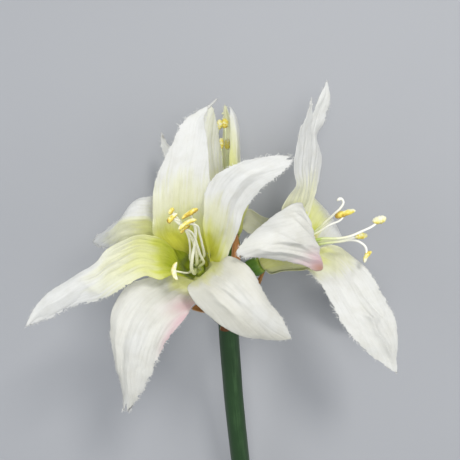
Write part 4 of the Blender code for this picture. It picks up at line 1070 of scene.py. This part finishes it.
def make_anther(centre, way, length, radius, look, seed):
    """A lumpy, slightly bent anther: two lobes side by side with a groove between them."""
    count, sides = 40, 22
    t = np.linspace(-1, 1, count)
    t = np.sign(t) * (1 - (1 - np.abs(t)) ** 1.5)
    way = unit(way)
    front = square_to(EYE - centre, way)
    side = np.cross(way, front)
    away = (t**2 - 0.3) * length
    path = centre + np.outer(t * length / 2, way) + np.outer(away * look.get("bow", 0), side) + np.outer(away * look.get("nod", 0.05), front)
    path += 0.05 * radius * np.stack([wander(seed + k, t * 5 + 9 + k) for k in range(3)], -1)
    r = radius * look.get("fat", 1.0) * (1 + look.get("swell", 0) * t) * np.sqrt(np.clip(1 - np.abs(t) ** look.get("blunt", 4.5), 0.0, 1))
    r = r * (1 + 0.11 * wander(seed, t * 3.4 + 5) + 0.06 * wander(seed + 3, t * 9 + 20))
    r[0] = r[-1] = radius * 0.16
    turn = np.linspace(0, 2 * math.pi, sides, endpoint=False)
    groove = 1 - 0.26 * np.exp(-((np.cos(turn) / 0.34) ** 2))
    lumps = 1 + 0.09 * mottle(seed + 1, t[:, None] * 6 + 20, turn[None, :] * 1.6) + 0.04 * mottle(seed + 6, t[:, None] * 15 + 20, turn[None, :] * 4)
    ring = r[:, None] * groove[None, :] * lumps
    verts = path[:, None] + ring[..., None] * (np.cos(turn)[None, :, None] * side + np.sin(turn)[None, :, None] * front * 0.9)
    faces = [
        (k * sides + s, (k + 1) * sides + s, (k + 1) * sides + (s + 1) % sides, k * sides + (s + 1) % sides)
        for k in range(count - 1) for s in range(sides)
    ]
    faces.append(tuple(range(sides)))
    faces.append(tuple((count - 1) * sides + s for s in range(sides - 1, -1, -1)))
    # under tints one side of the anther golden and darker and the other side pale: painted shade beneath, painted
    # highlight on top
    tone = 0.62 + look.get("tone", 0) + look.get("slope", 0) * t[:, None] + look.get("under", 0) * np.cos(turn)[None, :]
    tone = tone - 0.16 * np.exp(-((np.cos(turn)[None, :] / 0.3) ** 2)) + 0.24 * mottle(seed + 2, t[:, None] * 4 + 9, turn[None, :] * 1.5)
    return verts.reshape(-1, 3), faces, np.clip(tone, 0, 1).ravel()


THREAD = {"stamen_a2": 1.05, "stamen_a1": 0.74, "stamen_a3": 0.8, "stamen_a4": 0.75, "stamen_a5": 0.84, "stamen_c2": 1.15, "stamen_c4": 1.1}   # radius at the foot


def make_stamen(name, spec):
    bloom, azimuth, points, anther = spec
    bloom_frame = BLOOMS[bloom]
    foot = bloom_frame.at(6 + GAP) if azimuth is None else bloom_frame.at(6 + GAP, 2.7, azimuth)
    line = [foot - bloom_frame.axis * 1.2, foot + bloom_frame.axis * 5] + [sight(*p) for p in points]
    seed = sum((i + 5) * ord(c) for i, c in enumerate(name)) % 9973
    parts = Parts("tone", "across", "along")
    if anther is not None:
        centre, towards = sight(*anther[0]), sight(*anther[1])
        line.append(centre)
    path = smooth_path(line, 72)
    share = np.linspace(0, 1, 72)
    if anther is None:
        radii = 1.0 - 0.16 * share + 0.55 * ease(0.95, 0.985, share) * (bloom != "a")
        radii[-1] *= 0.4
        radii[-2] *= 0.85
    else:
        radii = THREAD.get(name, 0.98) * (1 - 0.26 * ease(0.2, 0.95, share))
    radii = radii * (1 + 0.06 * wander(seed, share * 14) + 0.04 * wander(seed + 7, share * 40))
    path = path + np.stack([0.2 * wander(seed + k, share * 9 + 3 * k) for k in range(3)], -1) * ease(0.05, 0.2, share)[:, None] * (1 - ease(0.9, 1.0, share))[:, None]
    verts, faces, turn, length = tube(path, radii, 12, lambda t, s: 1 + 0.07 * np.cos(2 * t))
    pale = {"a": 0.30 + 0.45 * ease(0.0, 0.6, share), "b": 0.06 + 0.40 * ease(0.3, 0.9, share), "c": 0.02 + 0.98 * ease(0.42, 0.86, share)}[bloom]
    tone = np.repeat(np.clip(pale, 0, 1), 12)
    parts.add(verts, faces, 0, tone=tone, across=turn, along=length)
    if anther is not None:
        body, body_faces, flock = make_anther(centre, towards - centre, anther[2], anther[3], ANTHERS.get(name, {}), seed)
        parts.add(body, body_faces, 1, tone=flock)
    return parts.make(name, [FILAMENT_CREAM, POLLEN], [name])


for stamen_name, stamen_spec in STAMENS.items():
    make_stamen(stamen_name, stamen_spec)


# ---- stem, wire, pedicels, ovaries and throat bosses ----------------------------------------
stem_line = smooth_path(STEM_PATH, 15)
stem_down = unit(stem_line[-1] - stem_line[-2])
stem_up = unit(stem_line[0] - stem_line[1])
drop = math.sqrt(1 - stem_down[2] ** 2) * STEM_DIAMETER / 2
stem_line[:, 2] += (drop - stem_line[-1, 2]) * np.linspace(0, 1, 15) ** 1.5


def make_sleeve():
    count, sides = 150, 56
    path = smooth_path(stem_line, count)
    a, b = frames_along(path)
    share = np.linspace(0, 1, count)
    turn = np.linspace(0, 2 * math.pi, sides, endpoint=False)
    length = chord_knots(path)
    # rounded at the top, slightly waisted, with two mould lines and soft flutes
    radius = STEM_DIAMETER / 2 * (1 - 0.10 * (1 - ease(0, 2.2, length)) ** 2) - 0.06 + 0.05 * wander(61, length / 21.0)
    ring = radius[:, None] * (1 + 0.006 * np.sin(turn * 7 + 0.8)[None, :] + 0.004 * mottle(62, length[:, None] / 9.0, turn[None, :] * 3))
    for seam in (0.9, 0.9 + math.pi):
        gap = np.angle(np.exp(1j * (turn - seam)))
        ring = ring + 0.12 * np.exp(-((gap / 0.06) ** 2))[None, :]
    ring = np.minimum(ring, STEM_DIAMETER / 2)
    outer = path[:, None] + ring[..., None] * (np.cos(turn)[None, :, None] * a[:, None] + np.sin(turn)[None, :, None] * b[:, None])
    inner = path[:, None] + BORE_DIAMETER / 2 * (np.cos(turn)[None, :, None] * a[:, None] + np.sin(turn)[None, :, None] * b[:, None])
    outer[..., 2] -= outer[..., 2].min() * share[:, None] ** 3
    low = count * sides
    i = np.arange(low).reshape(count, sides)
    nxt = np.roll(i, -1, axis=1)
    walls = np.stack([i[:-1], nxt[:-1], nxt[1:], i[1:]], -1).reshape(-1, 4)
    ends = np.concatenate([
        np.stack([nxt[0], i[0], i[0] + low, nxt[0] + low], -1),
        np.stack([i[-1], nxt[-1], nxt[-1] + low, i[-1] + low], -1),
    ])
    faces = np.concatenate([walls, walls[:, ::-1] + low, ends])
    verts = np.concatenate([outer.reshape(-1, 3), inner.reshape(-1, 3)])
    # painted highlight: a paler band down one side of the stem's colour stands in for the gloss reflection on the
    # plastic
    painted_sheen_band = np.exp(-((np.angle(np.exp(1j * (turn - PAINTED_SHEEN_TURN))) / 0.5) ** 2))
    tone = 0.42 + 0.20 * painted_sheen_band[None, :] + 0.10 * mottle(63, length[:, None] / 16.0, turn[None, :] * 2) + 0.25 * (1 - ease(0, 6, length))[:, None]
    tone = np.concatenate([np.clip(tone, 0, 1).ravel(), np.full(low, 0.75)])
    values = {"tone": tone, "across": np.tile(np.tile(turn * 7, count), 2), "along": np.tile(np.repeat(length, sides), 2)}
    return piece("stem_sleeve", verts, faces, [STEM_GREEN], ["stem_sleeve"], values, np.arange(2 * len(walls), len(faces)))


# where the painted highlight band lies around the stem
PAINTED_SHEEN_TURN = 0.0
make_sleeve()

wire = Parts("tone", "across", "along")
wire_verts, wire_faces, wire_turn, wire_length = tube(smooth_path(stem_line, 60), np.full(60, WIRE_DIAMETER / 2), 16)
wire.add(wire_verts, wire_faces, tone=0.5, across=wire_turn * 1.5, along=wire_length)
wire.make("stem_wire", [STEEL], ["stem_wire"])

TOP = stem_line[0] + stem_up * 2 * GAP
side_x = square_to((1, 0, 0), stem_up)
side_z = square_to((0, 0, 1), stem_up)
for key, turn_deg in (("a", 150), ("b", 270), ("c", 30)):
    bloom_frame = BLOOMS[key]
    out = side_x * math.cos(math.radians(turn_deg)) + side_z * math.sin(math.radians(turn_deg))
    start = TOP + out * 3.62
    foot = bloom_frame.at(-16.0 - GAP)
    middle = {
        "a": (start + stem_up * 9 + out * 1.0, foot - bloom_frame.axis * 7),
        "b": (start + stem_up * 12 + out * 7.0, foot - bloom_frame.axis * 12 + np.array([0, 0, -4.0]), foot - bloom_frame.axis * 3),
        "c": (start + stem_up * 10 + out * 3.6, foot - bloom_frame.axis * 6.5 + np.array([1.2, -1.8, 1.7]), foot - bloom_frame.axis * 3),
    }[key]
    path = smooth_path([start, start + stem_up * 3, *middle, foot], 60)
    share = np.linspace(0, 1, 60)
    radii = 2.72 + 0.28 * (1 - ease(0, 0.15, share)) + 0.28 * ease(0.82, 1.0, share) + 0.05 * wander(70 + ord(key), share * 9)
    stalk = Parts("tone", "across", "along")
    verts, faces, turns, lengths = tube(path, radii, 24, lambda t, s: 1 + 0.018 * np.cos(5 * t + 2 * s))
    stalk.add(verts, faces, tone=np.repeat(0.40 + 0.32 * ease(0.55, 1.0, share) + 0.2 * (1 - ease(0, 0.1, share)), 24), across=turns * 3, along=lengths)
    stalk.make("pedicel_" + key, [STEM_GREEN], ["pedicel_" + key])

    # the ovary: three soft lobes, necked in where the petals start
    count = 44
    share = np.linspace(0, 1, count)
    line = np.array([bloom_frame.at(-16.1 + 16.1 * x) for x in share])
    radii = np.interp(share, (0, 0.06, 0.2, 0.42, 0.62, 0.82, 0.95, 1), (2.6, 3.5, 5.2, 6.5, 6.75, 6.2, 5.7, 5.3))
    radii = np.convolve(np.pad(radii, 2, mode="edge"), np.ones(5) / 5, mode="valid")
    radii[0], radii[-1] = 2.3, 4.6
    ovary = Parts("tone", "across", "along")
    verts, faces, turns, lengths = tube(line, radii, 42, lambda t, s: 1 - 0.085 * np.sin(math.pi * np.clip(s, 0, 1)) * (0.5 - 0.5 * np.cos(3 * t)) ** 2)
    ovary.add(verts, faces, tone=np.clip(np.repeat(0.30 + 0.45 * ease(0.7, 1.0, share), 42), 0, 1), across=turns * 6, along=lengths)
    ovary.make("ovary_" + key, [LEAF_GREEN], ["ovary_" + key])

    # the boss: a domed plug with a rim of small sockets for the stamens
    share = np.linspace(0, 1, 20)
    line = np.array([bloom_frame.at(5.9 * x) for x in share])
    radii = np.interp(share, (0, 0.5, 0.8, 0.94, 1.0), (4.6, 4.4, 4.15, 3.3, 1.4))
    boss = Parts("tone", "across", "along")
    verts, faces, turns, lengths = tube(line, radii, 36, lambda t, s: 1 + 0.05 * np.cos(6 * t))
    boss.add(verts, faces, tone=np.repeat(0.72 + 0.2 * share, 36), across=turns * 4, along=lengths)
    boss.make("throat_boss_" + key, [LEAF_GREEN], ["throat_boss_" + key])


# ---- papery bracts ---------------------------------------------------------------------------
def make_bract(name, stations, tone, seed):
    lines = np.array([[sight(*p) for p in row] for row in stations])
    knots = chord_knots(lines[:, 1])
    rows, cols = 110, 30
    rng = np.random.default_rng(seed)
    u0, v0 = np.linspace(0, 1, rows), np.linspace(-1, 1, cols)
    ragged = rng.uniform(0, 0.05, cols) + 0.02 * np.abs(wander(seed, v0 * 4 + 5))
    u = u0[:, None] * (1 - ragged[None, :] * ease(0.8, 1, u0)[:, None])
    torn = 1 + 0.10 * wander(seed + 1, u0 * 34)[:, None] * np.sign(v0)[None, :] * 0.6 - 0.05 * rng.uniform(0, 1, rows)[:, None]
    v = v0[None, :] * (1 + (torn - 1) * np.abs(v0[None, :]) ** 4)

    def flat(u, v):
        t = u * knots[-1]
        left, mid, right = (curve(lines[:, k], knots, t) for k in range(3))
        w = (v[..., None] + 1) / 2
        return left * (1 - w) * (1 - 2 * w) + mid * 4 * w * (1 - w) + right * w * (2 * w - 1)

    grid = flat(u, v)
    n = np.cross(np.gradient(grid, axis=0), np.gradient(grid, axis=1))
    n /= np.maximum(np.linalg.norm(n, axis=-1, keepdims=True), 1e-9)
    a = u * knots[-1]
    rise = 0.22 * mottle(seed + 2, a / 7.0, v * 4 + 8) + 0.14 * np.abs(np.cos(math.pi * 3.5 * v + wander(seed + 3, a / 9.0))) ** 3 + 0.10 * mottle(seed + 4, a / 2.0, v * 9 + 3)
    grid = grid + n * (rise * ease(0, 0.12, u))[..., None]
    thick = 0.17
    top, bottom = grid + n * thick, grid - n * thick
    i = np.arange(rows * cols).reshape(rows, cols)
    low = rows * cols
    quads = np.stack([i[:-1, :-1], i[1:, :-1], i[1:, 1:], i[:-1, 1:]], -1).reshape(-1, 4)
    rim = np.concatenate([i[0, :], i[1:, -1], i[-1, -2::-1], i[-2:0:-1, 0]])
    sides = np.stack([rim, np.roll(rim, -1), np.roll(rim, -1) + low, rim + low], -1)
    faces = np.concatenate([quads, quads[:, ::-1] + low, sides])
    half = np.linalg.norm(lines[:, 0] - lines[:, 2], axis=1) / 2
    half = np.interp(u0 * knots[-1], knots, half)
    edge = 0.7 * np.clip(ease(0.75, 1.0, np.abs(v)) + ease(0.9, 1.0, u), 0, 1)
    values = {
        "across": np.tile((v * half[:, None]).ravel(), 2), "along": np.tile(a.ravel(), 2),
        "tone": np.tile(np.clip(tone - 0.75 * (1 - ease(0.04, 0.16, u)) + 0.2 * mottle(seed + 5, a / 8.0, v * 3 + 2), 0, 1).ravel(), 2), "edge": np.tile(edge.ravel(), 2),
    }
    return piece(name, np.concatenate([top.reshape(-1, 3), bottom.reshape(-1, 3)]), faces, [PAPER], [name], values, np.arange(2 * len(quads), len(faces)))


make_bract("bract_tall", BRACTS["bract_tall"], 0.66, 301)
make_bract("bract_right", BRACTS["bract_right"], 0.68, 311)
make_bract("bract_left", BRACTS["bract_left"], 0.70, 321)


# ---- floor, lights and camera -----------------------------------------------------------------
def make_floor():
    s = Shader("studio_floor")
    spot = s.node("TexCoord").outputs["Object"]
    s.join(s.ramp(s.noise(spot, 3.0, 2.0), ((0.0, (0.370, 0.376, 0.390)), (1.0, (0.390, 0.396, 0.410)))), s.principled.inputs["Base Color"])
    s.set(Roughness=0.9, Specular_IOR_Level=0.1)
    data = bpy.data.meshes.new("floor")
    data.from_pydata([(-6, -6, 0), (6, -6, 0), (6, 6, 0), (-6, 6, 0)], [], [(0, 1, 2, 3)])
    data.materials.append(s.material)
    made = bpy.data.objects.new("floor", data)
    bpy.context.scene.collection.objects.link(made)


make_floor()

world = bpy.data.worlds.new("studio")
bpy.context.scene.world = world
world.use_nodes = True
world.node_tree.nodes["Background"].inputs["Color"].default_value = (0.80, 0.86, 0.95, 1.0)
world.node_tree.nodes["Background"].inputs["Strength"].default_value = 0.47


def softbox(name, place, aim, size, power, colour):
    data = bpy.data.lights.new(name, "AREA")
    data.shape = "DISK"
    data.size = size
    data.energy = power
    data.color = colour
    made = bpy.data.objects.new(name, data)
    bpy.context.scene.collection.objects.link(made)
    made.location = place
    way = np.asarray(aim, float) - np.asarray(place, float)
    from mathutils import Vector
    made.rotation_mode = "QUATERNION"
    made.rotation_quaternion = Vector(way).to_track_quat("-Z", "Y")


softbox("key", (0.30, 0.64, 1.0), (0.0, 0.05, 0.08), 0.30, 5.9, (1.0, 0.99, 0.97))
softbox("fill", (-0.85, 0.05, 0.75), (0.0, 0.05, 0.08), 0.8, 2.7, (0.96, 0.98, 1.0))
softbox("side", (0.90, 0.0, 0.72), (0.0, 0.05, 0.08), 0.6, 2.2, (1.0, 0.99, 0.98))
softbox("top", (0.02, 0.04, 1.10), (0.0, 0.05, 0.08), 0.42, 4.0, (1.0, 0.99, 0.98))

camera_data = bpy.data.cameras.new("camera")
camera_data.sensor_width = 36.0
camera_data.lens = 36.0 * BOARD_FOCAL / 460.0
camera_data.clip_start, camera_data.clip_end = 0.01, 20.0
camera = bpy.data.objects.new("camera", camera_data)
bpy.context.scene.collection.objects.link(camera)
camera.location = EYE * 0.001
bpy.context.scene.camera = camera
bpy.context.scene.view_settings.view_transform = "Standard"
bpy.context.scene.view_settings.look = "None"
